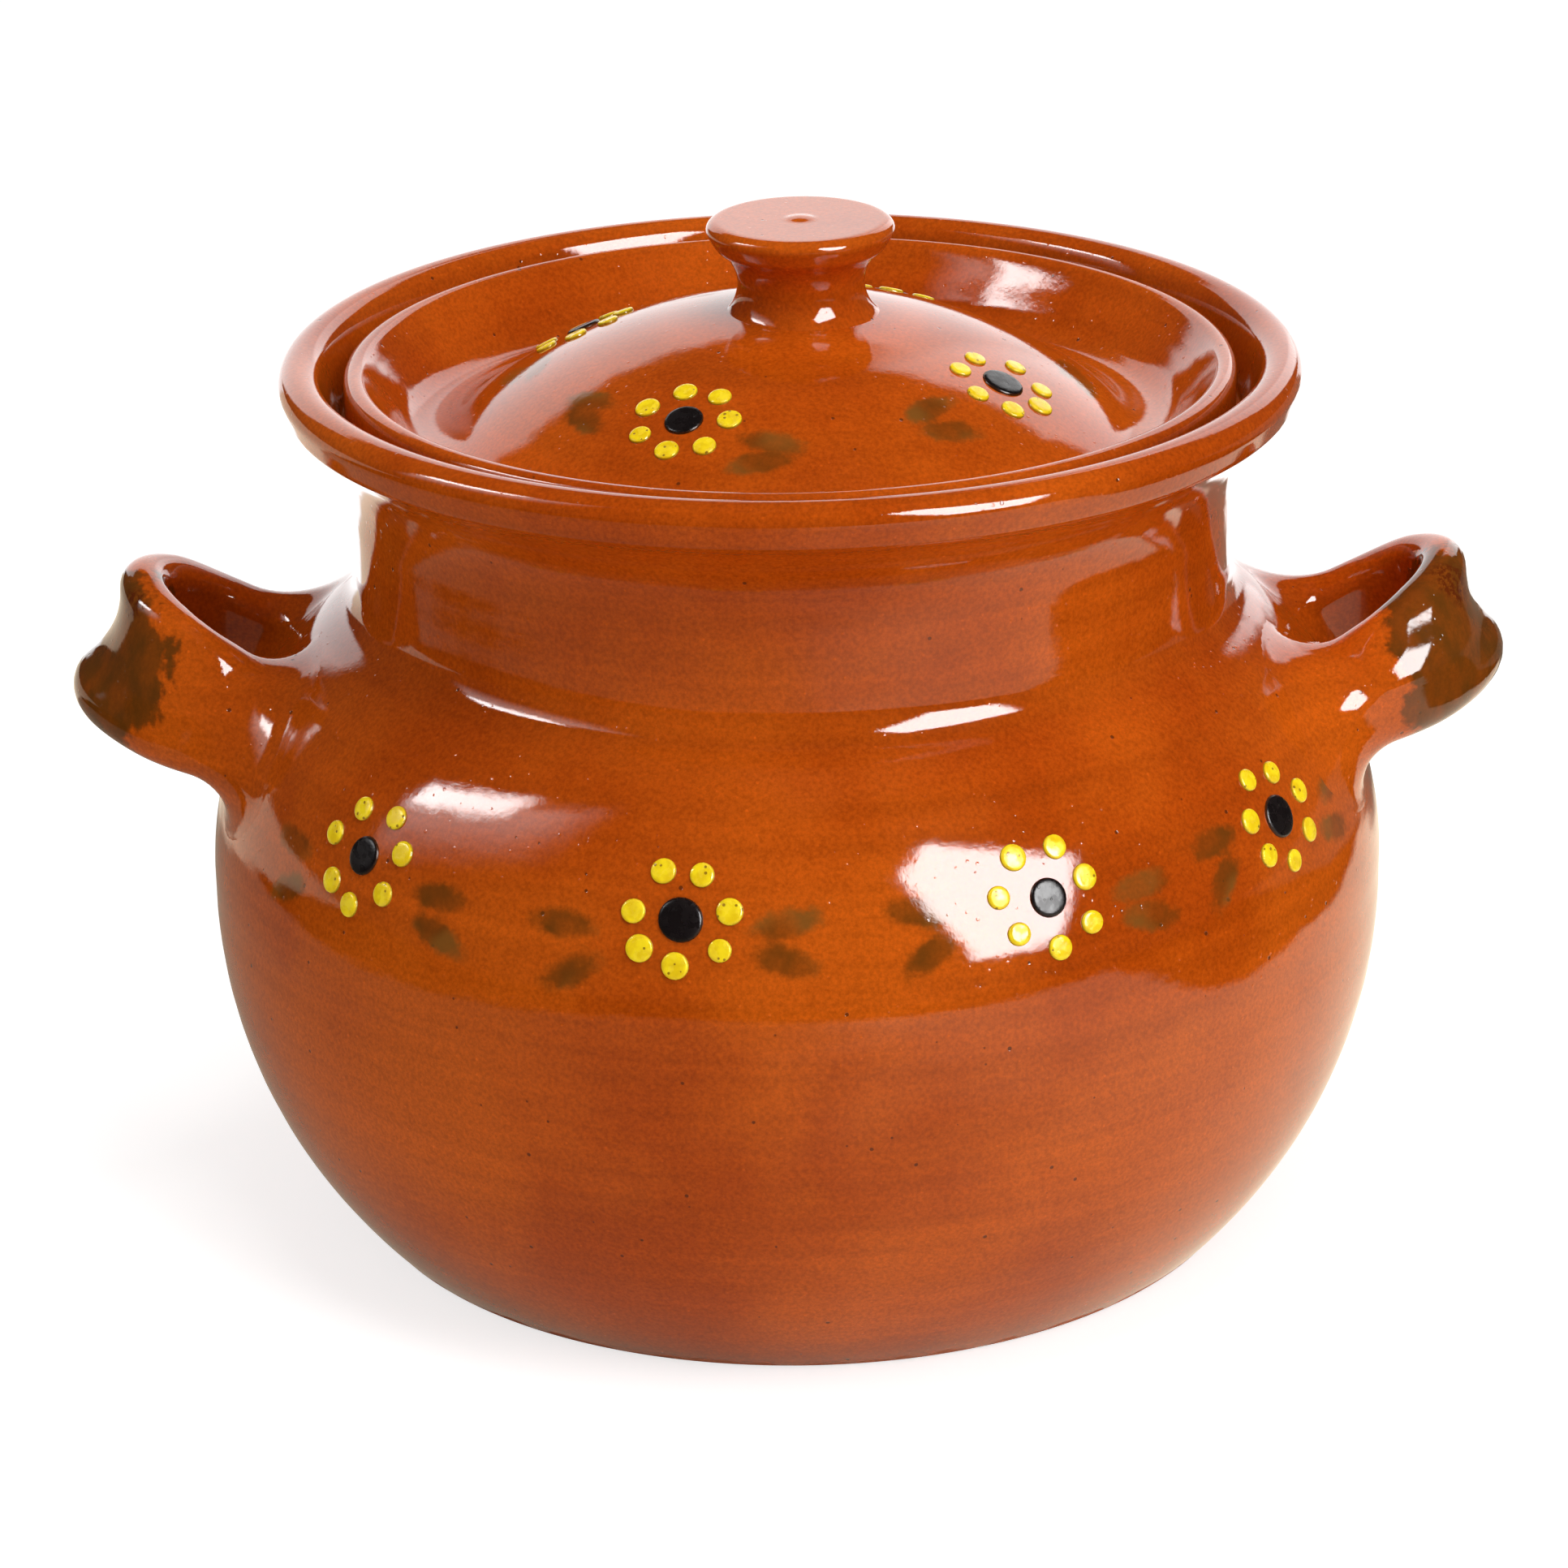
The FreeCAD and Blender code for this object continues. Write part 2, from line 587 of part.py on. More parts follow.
class TurnedWall:
    """A wall turned with one arc, on which a place is given by its angle from the
    front and its tilt up the arc."""

    def __init__(self, curve, centreRadius, centreHeight, solid):
        self.curve = curve
        self.radius = centreRadius
        self.height = centreHeight
        self.solid = solid

    def spot(self, angle, tilt, aside, along):
        """Point and outward direction after a step round the wall and one up it."""
        tilt += along / self.curve
        ring = self.radius + self.curve * math.cos(tilt)
        turn = math.radians(angle - 90) + aside / ring
        out = FreeCAD.Vector(math.cos(turn) * math.cos(tilt),
                             math.sin(turn) * math.cos(tilt), math.sin(tilt))
        point = FreeCAD.Vector(ring * math.cos(turn), ring * math.sin(turn),
                               self.height + self.curve * math.sin(tilt))
        return point, out

    def dot(self, angle, tilt, aside, along, half):
        point, out = self.spot(angle, tilt, aside, along)
        rise = size("dot_rise")
        disc = Part.makeCylinder(half, 2 * rise, point - out * rise, out)
        rims = [edge for edge in disc.Edges if isinstance(edge.Curve, Part.Circle)]
        top = max(rims, key=lambda edge: edge.Curve.Center.dot(out))
        return disc.makeFillet(size("dot_round"), [top]).cut(self.solid).Solids[0]

    def flowers(self, angles, tilt, ring, petal, eye):
        yellow = []
        black = []
        for angle in angles:
            black.append(self.dot(angle, tilt, 0, 0, eye))
            for number in range(PETALS):
                turn = math.radians(FIRST_PETAL_ANGLE + number * 360.0 / PETALS)
                aside = ring * math.cos(turn)
                along = ring * math.sin(turn)
                yellow.append(self.dot(angle, tilt, aside, along, petal))
        return yellow, black


def slipDots(label, dots):
    node = doc.addObject("Part::Feature", label)
    node.Label = label
    node.Shape = Part.makeCompound(dots)
    node.Placement = FreeCAD.Placement()
    return node


core = newBody("pot_core")
spin(core, coreOutline(core, "core_profile"), "core")
shoulder = TurnedWall(size("shoulder_curve"), size("shoulder_out"), size("belly_high"),
                      core.Shape)
tilt = math.asin(size("pot_flower_rise") / size("shoulder_curve"))
yellow, black = shoulder.flowers(POT_ANGLES, tilt, size("pot_ring_radius"),
                                 size("pot_petal"), size("pot_eye"))
yellowPot = slipDots("yellow_dots_pot", yellow)
blackPot = slipDots("black_dots_pot", black)

domeBall = Part.makeSphere(ball, FreeCAD.Vector(0, 0, ballAt[1]))
domeWall = TurnedWall(ball, 0, ballAt[1], domeBall)
tilt = math.acos(size("lid_flower_radius") / ball)
yellow, black = domeWall.flowers(LID_ANGLES, tilt, size("lid_ring_radius"),
                                 size("lid_petal"), size("lid_eye"))
yellowLid = slipDots("yellow_dots_lid", yellow)
blackLid = slipDots("black_dots_lid", black)
doc.recompute()


# ------------------------------------------------------------------ output
NODES = [pot, handleLeft, handleRight, lid, knob, yellowPot, blackPot, yellowLid, blackLid]

for item in doc.Objects:
    if "Invalid" in item.State or "Error" in item.State:
        raise RuntimeError("%s failed: %s" % (item.Name, item.State))
os.makedirs("parts", exist_ok=True)
for node in NODES:
    shape = node.Shape
    if shape.isNull() or not shape.isValid():
        raise RuntimeError("%s has no valid shape" % node.Label)
    shape.exportStep("parts/%s.step" % node.Label)
    print("%s: %d solid(s), %.0f mm3" % (node.Label, len(shape.Solids), shape.Volume))
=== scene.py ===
# A glazed bean pot with a lift-off lid: thrown walls, two strap handles, flowers of
# slip dots and brushed leaves under a clear amber glaze. Lengths of the clay are in
# millimetres and are turned to metres as each mesh is made; the studio is in metres.
from math import acos, asin, atan2, cos, degrees, dist, hypot, pi, radians, sin, sqrt
import bmesh
import bpy
import numpy as np
from mathutils import Matrix, Vector


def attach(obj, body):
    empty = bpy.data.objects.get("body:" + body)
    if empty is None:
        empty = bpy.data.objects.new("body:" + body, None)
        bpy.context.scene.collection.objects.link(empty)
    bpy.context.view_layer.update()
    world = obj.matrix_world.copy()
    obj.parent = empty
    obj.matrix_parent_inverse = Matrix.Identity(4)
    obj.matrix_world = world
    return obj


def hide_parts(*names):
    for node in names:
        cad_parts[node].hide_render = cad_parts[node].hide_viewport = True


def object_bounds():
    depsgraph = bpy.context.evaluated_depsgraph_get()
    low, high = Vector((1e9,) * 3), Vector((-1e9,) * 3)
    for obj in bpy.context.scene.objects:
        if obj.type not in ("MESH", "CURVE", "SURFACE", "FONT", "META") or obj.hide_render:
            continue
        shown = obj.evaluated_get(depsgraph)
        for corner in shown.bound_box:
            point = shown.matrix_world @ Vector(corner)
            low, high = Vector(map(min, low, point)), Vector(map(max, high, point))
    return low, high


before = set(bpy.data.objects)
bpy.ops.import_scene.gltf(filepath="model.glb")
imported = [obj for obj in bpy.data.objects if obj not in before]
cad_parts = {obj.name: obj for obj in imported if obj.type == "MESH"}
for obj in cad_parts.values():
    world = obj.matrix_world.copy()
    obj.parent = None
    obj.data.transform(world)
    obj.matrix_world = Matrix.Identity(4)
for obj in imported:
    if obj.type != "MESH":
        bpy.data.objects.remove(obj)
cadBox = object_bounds()
mm = 0.001
seam = 0.002 * mm    # points nearer than this are welded
print("frame loaded")


def colour(r, g, b):
    return (r, g, b, 1.0)


def result(node):
    # the first live output of a node
    return next(socket for socket in node.outputs if socket.enabled)


def newObject(name, data):
    made = bpy.data.objects.new(name, data)
    bpy.context.scene.collection.objects.link(made)
    return made


def newMesh(name, points, edges, faces):
    made = bpy.data.meshes.new(name)
    made.from_pydata(points, edges, faces)
    return made


def store(mesh, name, kind, values):
    # keeps one value per point of a mesh
    kept = mesh.attributes.new(name, kind, "POINT")
    kept.data.foreach_set("vector" if kind == "FLOAT_VECTOR" else "value", np.ravel(values))


class Wiring:
    # adds nodes to a tree and joins them in one step
    def __init__(self, tree):
        self.tree = tree

    def node(self, kind, *feeds, **settings):
        made = self.tree.nodes.new(kind)
        for name, value in settings.items():
            setattr(made, name, value)
        live = [socket for socket in made.inputs if socket.enabled]
        for socket, value in zip(live, feeds):
            self.feed(socket, value)
        return made

    def feed(self, socket, value):
        if value is None:
            return
        if isinstance(value, bpy.types.Node):
            value = result(value)
        if isinstance(value, bpy.types.NodeSocket):
            self.tree.links.new(value, socket)
        else:
            socket.default_value = value

    def fill(self, node, values):
        # feeds a node's live inputs by name
        for name, value in values.items():
            self.feed(next(socket for socket in node.inputs
                           if socket.enabled and socket.name == name), value)
        return node

    def calc(self, operation, *values):
        # further values are joined on from the left
        made = self.node("ShaderNodeMath", *values[:2], operation=operation)
        for value in values[2:]:
            made = self.node("ShaderNodeMath", made, value, operation=operation)
        return made

    def plus(self, *values):
        return self.calc("ADD", *values)

    def minus(self, *values):
        return self.calc("SUBTRACT", *values)

    def times(self, *values):
        return self.calc("MULTIPLY", *values)

    def vector(self, operation, *values):
        return self.node("ShaderNodeVectorMath", *values, operation=operation)

    def scaled(self, vector, x, y, z):
        return self.vector("MULTIPLY", vector, (x, y, z))

    def sized(self, vector, factor):
        return self.fill(self.vector("SCALE", vector), {"Scale": factor})

    def split(self, vector):
        return self.node("ShaderNodeSeparateXYZ", vector).outputs

    def join(self, x, y, z):
        return self.node("ShaderNodeCombineXYZ", x, y, z)

    def most(self, *values):
        return self.calc("MAXIMUM", *values)

    def noise(self, vector, scale, detail=2.0, roughness=0.5):
        return self.fill(self.node("ShaderNodeTexNoise"), {
            "Vector": vector, "Scale": scale, "Detail": detail,
            "Roughness": roughness}).outputs["Fac"]

    def step(self, value, low, high, start=0.0, end=1.0):
        return self.fill(self.node("ShaderNodeMapRange", interpolation_type="SMOOTHSTEP"), {
            "Value": value, "From Min": low, "From Max": high, "To Min": start,
            "To Max": end}).outputs["Result"]

    def blend(self, share, first, second):
        return result(self.node("ShaderNodeMix", share, first, second, data_type="RGBA"))

    def specks(self, place, scale, low, high, most, soft):
        # round specks of uneven size: only some cells have one
        cells = self.fill(self.node("ShaderNodeTexVoronoi", feature="F1"),
                          {"Vector": place, "Scale": scale})
        chance = self.node("ShaderNodeSeparateColor", cells.outputs["Color"])
        wanted = self.step(chance.outputs[0], low, high, 0.0, most)
        return self.step(self.minus(wanted, cells.outputs["Distance"]), 0, soft)


def newMaterial(name):
    made = bpy.data.materials.new(name)
    made.use_nodes = True
    made.node_tree.nodes.clear()
    wires = Wiring(made.node_tree)
    shader = wires.node("ShaderNodeBsdfPrincipled")
    wires.node("ShaderNodeOutputMaterial", shader)
    return made, wires, shader, wires.node("ShaderNodeTexCoord").outputs["Object"]


def addRelief(wires, shader, height):
    # height is in metres
    bump = wires.fill(wires.node("ShaderNodeBump"), {"Distance": 1.0, "Height": height})
    wires.fill(shader, {"Normal": bump})


def newTree(name, sockets, output):
    # sockets gives each input's name and kind
    tree = bpy.data.node_groups.new(name, "GeometryNodeTree")
    for label, kind in sockets.items():
        tree.interface.new_socket(label, in_out="INPUT", socket_type="NodeSocket" + kind)
    tree.interface.new_socket(output, in_out="OUTPUT", socket_type="NodeSocketGeometry")
    wires = Wiring(tree)
    return tree, wires, wires.node("NodeGroupInput").outputs


def closeTree(wires, shape, material):
    real = wires.node("GeometryNodeRealizeInstances", shape)
    wires.node("NodeGroupOutput", wires.fill(wires.node("GeometryNodeSetMaterial", real),
                                             {"Material": material}))


# amber glaze over red clay
glazeLook = {
    "deepAmber": colour(0.340, 0.047, 0.0020),
    "warmAmber": colour(0.465, 0.080, 0.0042),
    "speck": colour(0.055, 0.014, 0.003),
    "leaf": colour(0.105, 0.034, 0.0035),
    "paleLeaf": colour(0.165, 0.066, 0.010),
    "splash": colour(0.078, 0.029, 0.0038),
    "splashEdge": colour(0.046, 0.019, 0.003),
    "rust": colour(0.085, 0.013, 0.002),
    "bareClay": colour(0.42, 0.13, 0.055),
    "leafStrength": 0.92,
    "ringHeight": 0.030 * mm,     # throwing rings
    "swellHeight": 0.085 * mm,    # slow waves left by the hand
    "peelHeight": 0.015 * mm,     # fine skin of the glaze
    "grainHeight": 0.0075 * mm,   # its finest unevenness
    "gritHeight": 0.024 * mm,     # sand grains under the glaze
    "pitDepth": 0.035 * mm,
    "grainScale": 1250, "speckScale": 240, "gritScale": 560,
    "speckStrength": 0.75, "gritPaler": 0.22, "splashStrength": 0.92,
    "rustStrength": 0.85, "roughness": 0.042, "clayRoughness": 0.85, "ior": 1.40,
    "glazeStops": 0.0016, "clayStarts": 0.0011,    # heights over the table
}
splashes = [  # centre and reach of the dark splashes on the handles
    ((-0.1335, -0.008, 0.1145), 0.0202),
    ((0.1308, -0.011, 0.1145), 0.0224),
]
rustSpots = [  # the same for the rusty spots above them
    ((-0.1265, -0.012, 0.1275), 0.0042),
    ((0.1285, -0.011, 0.1280), 0.0060),
]


def makeGlaze():
    look = glazeLook
    made, wires, shader, place = newMaterial("amberGlaze")
    noise, step, blend, times = wires.noise, wires.step, wires.blend, wires.times
    # slow drift of tone, streaks left by the wheel and the fine grain of the clay
    drift = step(noise(place, 17, 4, 0.55), 0.34, 0.66)
    streak = noise(wires.scaled(place, 9, 9, 330), 1, 3, 0.6)
    grain = noise(place, look["grainScale"], 4, 0.7)
    tone = wires.sized(blend(drift, look["deepAmber"], look["warmAmber"]),
                       times(step(streak, 0.25, 0.75, 0.91, 1.08),
                             step(grain, 0.28, 0.72, 0.78, 1.20)))
    speck = wires.specks(place, look["speckScale"], 0.55, 0.9, 0.115, 0.035)
    tone = blend(times(speck, look["speckStrength"]), tone, look["speck"])
    # sand grains: small lumps, some a little paler
    grit = wires.specks(place, look["gritScale"], 0.35, 0.95, 0.22, 0.12)
    tone = wires.sized(tone, wires.plus(times(grit, look["gritPaler"]), 1.0))
    # brushed leaves, drawn from the cover values stored on the walls
    ragged = step(noise(place, 330, 3, 0.65), 0.2, 0.8, -0.20, 0.20)
    cover = wires.node("ShaderNodeAttribute", attribute_name="leafCover").outputs["Fac"]
    leaf = step(wires.plus(cover, ragged), 0.78, 1.38)
    worn = step(noise(place, 150, 2), 0.3, 0.7, 0.62, 1.0)
    green = blend(step(noise(place, 75, 1), 0.42, 0.6), look["leaf"], look["paleLeaf"])
    tone = blend(times(worn, look["leafStrength"], leaf), tone, green)
    # a thin dark splash on the end of each handle, darkest at its edge
    wander = step(noise(place, 130, 4, 0.6), 0.2, 0.8, -0.0035, 0.0035)
    streaks = step(noise(wires.scaled(place, 1, 1, 0.45), 260, 3), 0.3, 0.7, 0.78, 1.0)

    def within(spots, soft):
        return wires.most(*(
            step(wires.plus(wires.vector("DISTANCE", place, centre).outputs["Value"],
                            wander), far, far * soft) for centre, far in spots))

    splash = within(splashes, 0.9)
    brown = blend(step(splash, 0.55, 1.0), look["splashEdge"], look["splash"])
    tone = blend(times(streaks, look["splashStrength"], splash), tone, brown)
    mottle = step(noise(place, 900, 3, 0.7), 0.42, 0.56)
    rust = times(within(rustSpots, 0.45), mottle, look["rustStrength"])
    tone = blend(rust, tone, look["rust"])
    # the foot is wiped clean of glaze
    height = wires.split(place)["Z"]
    edge = wires.plus(height, step(noise(place, 130, 3), 0.3, 0.7, -0.0007, 0.0007))
    bare = step(edge, look["glazeStops"], look["clayStarts"])
    gloss = step(noise(place, 60, 3), 0.3, 0.7, look["roughness"] * 0.8,
                 look["roughness"] * 1.3)
    wires.fill(shader, {
        "Base Color": blend(bare, tone, look["bareClay"]), "IOR": look["ior"],
        "Roughness": wires.most(gloss, times(bare, look["clayRoughness"]))})
    rings = noise(wires.scaled(place, 14, 14, 260), 1, 1.5)
    swell = noise(wires.scaled(place, 1, 1, 1.9), 34, 1.5)
    relief = wires.plus(
        times(rings, look["ringHeight"]), times(swell, look["swellHeight"]),
        times(noise(place, 520, 3), look["peelHeight"]), times(grain, look["grainHeight"]),
        times(grit, look["gritHeight"]))
    addRelief(wires, shader, wires.minus(relief, times(speck, look["pitDepth"])))
    return made


# slip for the dots
slipLook = {
    "yellow": colour(0.86, 0.64, 0.010),
    "yellowShade": colour(0.74, 0.50, 0.006),
    "yellowEdge": colour(0.34, 0.22, 0.010),
    "yellowSpeck": colour(0.20, 0.075, 0.004),
    "black": colour(0.006, 0.004, 0.004),
    "blackEdge": colour(0.050, 0.014, 0.003),
    "yellowGloss": (0.10, 0.34), "blackGloss": (0.22, 0.32),
    "yellowIor": 1.42, "blackIor": 1.33,
    "pitDepth": 0.08 * mm, "skinHeight": 0.10 * mm,
    "speckScale": 900, "speckStrength": 0.8,
}


def makeSlip(name, body, shade, edge, speckColour):
    look = slipLook
    made, wires, shader, place = newMaterial(name)
    noise, step, blend, times = wires.noise, wires.step, wires.blend, wires.times
    tone = blend(step(noise(place, 480, 2), 0.35, 0.65), look[body], look[shade])
    speck = wires.specks(place, look["speckScale"], 0.5, 0.9, 0.30, 0.06)
    tone = blend(times(speck, look["speckStrength"]), tone, look[speckColour])
    rim = wires.node("ShaderNodeAttribute", attribute_name="outward").outputs["Fac"]
    wires.fill(shader, {
        "Base Color": blend(step(rim, 0.93, 0.995), tone, look[edge]),
        "Roughness": step(noise(place, 520, 3), 0.4, 0.6, *look[body + "Gloss"]),
        "IOR": look[body + "Ior"]})
    addRelief(wires, shader, wires.minus(times(noise(place, 420, 2), look["skinHeight"]),
                                         times(speck, look["pitDepth"])))
    return made


glaze = makeGlaze()
yellowSlip = makeSlip("yellowSlip", "yellow", "yellowShade", "yellowEdge", "yellowSpeck")
blackSlip = makeSlip("blackSlip", "black", "black", "blackEdge", "black")
print("glaze and slips mixed")


# a profile is a closed line of (radius, height, how much the wheel marks it)

def angleTo(start, end):
    return degrees(atan2(end[1] - start[1], end[0] - start[0]))


def polar(centre, radius, turn):
    turn = radians(turn)
    return centre[0] + radius * cos(turn), centre[1] + radius * sin(turn)


def arc(points, centre, radius, start, end, step=1.2, marked=1.0):
    count = max(2, int(abs(radians(end - start)) * radius / step) + 1)
    for turn in np.linspace(start, end, count):
        points.append((*polar(centre, radius, turn), marked))


def line(points, x, y, step=1.2, marked=1.0):
    fromX, fromY, _ = points[-1]
    count = max(1, int(dist((x, y), (fromX, fromY)) / step))
    for share in np.linspace(0, 1, count + 1)[1:]:
        points.append((fromX + share * (x - fromX), fromY + share * (y - fromY), marked))


def soften(points, times):
    # glaze runs over every corner, so corners are eased a little
    kept = [points[0]]
    for point in points[1:]:
        if dist(point[:2], kept[-1][:2]) > 0.05:
            kept.append(point)
    grid = np.array(kept)
    for _ in range(times):
        grid[1:-1, :2] = 0.5 * grid[1:-1, :2] + 0.25 * (grid[:-2, :2] + grid[2:, :2])
    return grid


potSize = {
    "bellyRadius": 115.0, "bellyLow": 68.0, "bellyHigh": 72.0, "lowerCurve": 97.0,
    "footRound": 3.0, "shoulderCurve": 65.0, "neckCurve": 9.0, "neckRadius": 84.6,
    "neckStem": 14.2, "flareCurve": 22.0, "lipRadius": 96.8, "rimRadius": 98.2,
    "rimDepth": 8.7, "rimRound": 4.2, "mouthRadius": 86.5, "throatRadius": 79.1,
    "ledgeDepth": 13.4, "ledgeRound": 1.5, "wall": 5.5, "floor": 8.0,
    "segments": 256, "ringDepth": 0.16, "ringSpacing": 5.2,
}


def tangentAngle(point, centre, radius):
    # where the line from the point touches the round
    away = degrees(acos(radius / dist(point, centre)))
    return (angleTo(centre, point) - away) % 360


def potOutside(fine=1.2):
    s = potSize
    lower = (s["bellyRadius"] - s["lowerCurve"], s["bellyLow"])
    shoulder = (s["bellyRadius"] - s["shoulderCurve"], s["bellyHigh"])
    outHollow = s["neckRadius"] + s["neckCurve"]
    reach = s["shoulderCurve"] + s["neckCurve"]
    rise = sqrt(reach ** 2 - (outHollow - shoulder[0]) ** 2)
    hollow = (outHollow, s["bellyHigh"] + rise)
    inner = s["lowerCurve"] - s["footRound"]
    footX = lower[0] + sqrt(inner ** 2 - (lower[1] - s["footRound"]) ** 2)
    rest = angleTo(lower, (footX, s["footRound"]))
    turn = degrees(asin((hollow[1] - shoulder[1]) / reach))
    points = [(0, 0, 0.0), (footX * 0.5, 0, 0.0)]
    line(points, footX - 2, 0, 12, 0.0)
    arc(points, (footX, s["footRound"]), s["footRound"], -90, rest, 0.6, 0.0)
    arc(points, lower, s["lowerCurve"], rest, 0, fine)
    line(points, s["bellyRadius"], s["bellyHigh"], fine)
    arc(points, shoulder, s["shoulderCurve"], 0, turn, fine, 0.6)
    arc(points, hollow, s["neckCurve"], 180 + turn, 180, fine, 0.8)
    line(points, s["neckRadius"], hollow[1] + s["neckStem"], fine, 0.8)
    return points, lower, shoulder, hollow, turn


def potProfile():
    s = potSize
    points, lower, shoulder, hollow, turn = potOutside()
    neckTop = hollow[1] + s["neckStem"]
    flare = (s["neckRadius"] + s["flareCurve"], neckTop)
    drop = s["flareCurve"] ** 2 - (flare[0] - s["lipRadius"]) ** 2
    lipHigh = neckTop + sqrt(drop)
    rimTop = lipHigh + s["rimDepth"]
    under = angleTo(flare, (s["lipRadius"], lipHigh))
    roll = (s["rimRadius"] - s["rimRound"], rimTop - s["rimRound"])
    ledge = rimTop - s["ledgeDepth"]
    throat = s["throatRadius"] + s["ledgeRound"]
    over = tangentAngle((s["mouthRadius"], ledge), roll, s["rimRound"])
    arc(points, flare, s["flareCurve"], 180, under, 1.1, 0.6)
    line(points, s["rimRadius"], roll[1], 0.6, 0.3)
    arc(points, roll, s["rimRound"], 0, over, 0.6, 0.3)
    line(points, s["mouthRadius"], ledge, 0.8, 0.0)
    line(points, throat, ledge, 0.8, 0.0)
    arc(points, (throat, ledge - s["ledgeRound"]), s["ledgeRound"], 90, 180, 0.5, 0.0)
    line(points, s["throatRadius"], hollow[1], 2.5)
    arc(points, hollow, s["neckCurve"] + s["wall"], 180, 180 + turn, 2.5)
    arc(points, shoulder, s["shoulderCurve"] - s["wall"], turn, 0, 2.5)
    line(points, s["bellyRadius"] - s["wall"], lower[1], 2.5)
    inside = s["lowerCurve"] - s["wall"]
    corner = s["floor"]
    cornerX = lower[0] + sqrt((inside - corner) ** 2 - (lower[1] - 2 * corner) ** 2)
    rest = angleTo(lower, (cornerX, 2 * corner))
    arc(points, lower, inside, 0, rest, 2.5)
    arc(points, (cornerX, 2 * corner), corner, rest, -90, 1.5)
    line(points, 0, corner, 5.0)
    return soften(points, 1)


lidSize = {
    "ledge": 161.34, "radius": 85.6, "rise": 11.0, "round": 2.2, "edgeRound": 1.6,
    "valleyRadius": 70.0, "valleyRound": 8.0, "domeRise": 10.2, "domeCurve": 105.405,
    "domeWall": 5.2, "spigotRadius": 78.2, "spigotLow": 153.54,
    "segments": 224, "ringDepth": 0.12, "ringSpacing": 4.2,
    "claySide": -1.0,    # the clay is on the right of a profile walked outwards
}


def lidProfile():
    s = lidSize
    top = s["ledge"] + s["rise"]
    crown = top + s["domeRise"]
    ball = (0.0, crown - s["domeCurve"])
    valleyRise = sqrt(s["domeCurve"] ** 2 - s["valleyRadius"] ** 2)
    valley = (s["valleyRadius"], ball[1] + valleyRise)
    crest = (s["radius"] - s["round"], top - s["round"])
    over = tangentAngle(valley, crest, s["round"])
    touch = polar(crest, s["round"], over)
    # the valley's round touches the dome and the bank
    bank = Vector((touch[0] - valley[0], touch[1] - valley[1])).normalized()
    side = Vector((-bank.y, bank.x))
    base = Vector(valley) + s["valleyRound"] * side - Vector(ball)
    along = base.dot(bank)
    reach = s["domeCurve"] + s["valleyRound"]
    slide = -along + sqrt(along ** 2 - base.length_squared + reach ** 2)
    dip = Vector(ball) + base + slide * bank
    fromDome = angleTo(ball, dip)
    toBank = angleTo(side, (0, 0))
    hollowX = s["valleyRadius"] - s["domeWall"]
    inner = s["domeCurve"] - s["domeWall"]
    innerAngle = degrees(acos(hollowX / inner))
    points = [(0, crown, 1.0)]

    def edgeDown(far, low, step):
        # a straight side that ends in a rounded edge
        line(points, far, low + s["edgeRound"], step, 0.0)
        arc(points, (far - s["edgeRound"], low + s["edgeRound"]), s["edgeRound"],
            0, -90, 0.5, 0.0)

    arc(points, ball, s["domeCurve"], 90, fromDome, 1.1)
    arc(points, dip, s["valleyRound"], fromDome - 180, toBank, 0.8)
    line(points, touch[0], touch[1], 0.9)
    arc(points, crest, s["round"], over, 0, 0.5, 0.2)
    edgeDown(s["radius"], s["ledge"], 1.0)
    line(points, s["spigotRadius"], s["ledge"], 1.0, 0.0)
    edgeDown(s["spigotRadius"], s["spigotLow"], 1.5)
    line(points, hollowX, ball[1] + inner * sin(radians(innerAngle)), 1.5)
    arc(points, ball, inner, innerAngle, 90, 2.0)
    return soften(points, 1)


knobSize = {
    "crown": 182.54, "radius": 18.1, "rise": 16.9, "edge": 2.2, "waist": 12.2,
    "waistRise": 4.5, "curve": 8.0, "root": 7.4, "flare": 7.0, "offCentre": 2.4,
    "button": 2.9, "buttonRise": 0.5, "segments": 96, "ringDepth": 0.05,
    "ringSpacing": 3.0,
}


def knobProfile():
    s = knobSize
    top = s["crown"] + s["rise"]
    waist = (s["waist"] + s["curve"], s["crown"] + s["waistRise"])
    low = degrees(asin(s["root"] / s["curve"]))
    high = degrees(asin(s["flare"] / s["curve"]))
    swell = (s["button"] ** 2 + s["buttonRise"] ** 2) / (2 * s["buttonRise"])
    tip = degrees(asin(s["button"] / swell))
    points = [(0, waist[1] - s["root"], 0.0), (8, waist[1] - s["root"], 0.0)]
    arc(points, waist, s["curve"], 180 + low, 180 - high, 0.5, 0.3)
    line(points, s["radius"], top - s["edge"], 0.5, 0.3)
    arc(points, (s["radius"] - s["edge"], top - s["edge"]), s["edge"], 0, 90, 0.4, 0.2)
    line(points, s["button"] + 0.6, top, 0.6, 1.0)
    line(points, s["button"], top, 0.3, 0.0)
    arc(points, (0, top + s["buttonRise"] - swell), swell, 90 - tip, 90, 0.4, 0.0)
    return soften(points, 2)


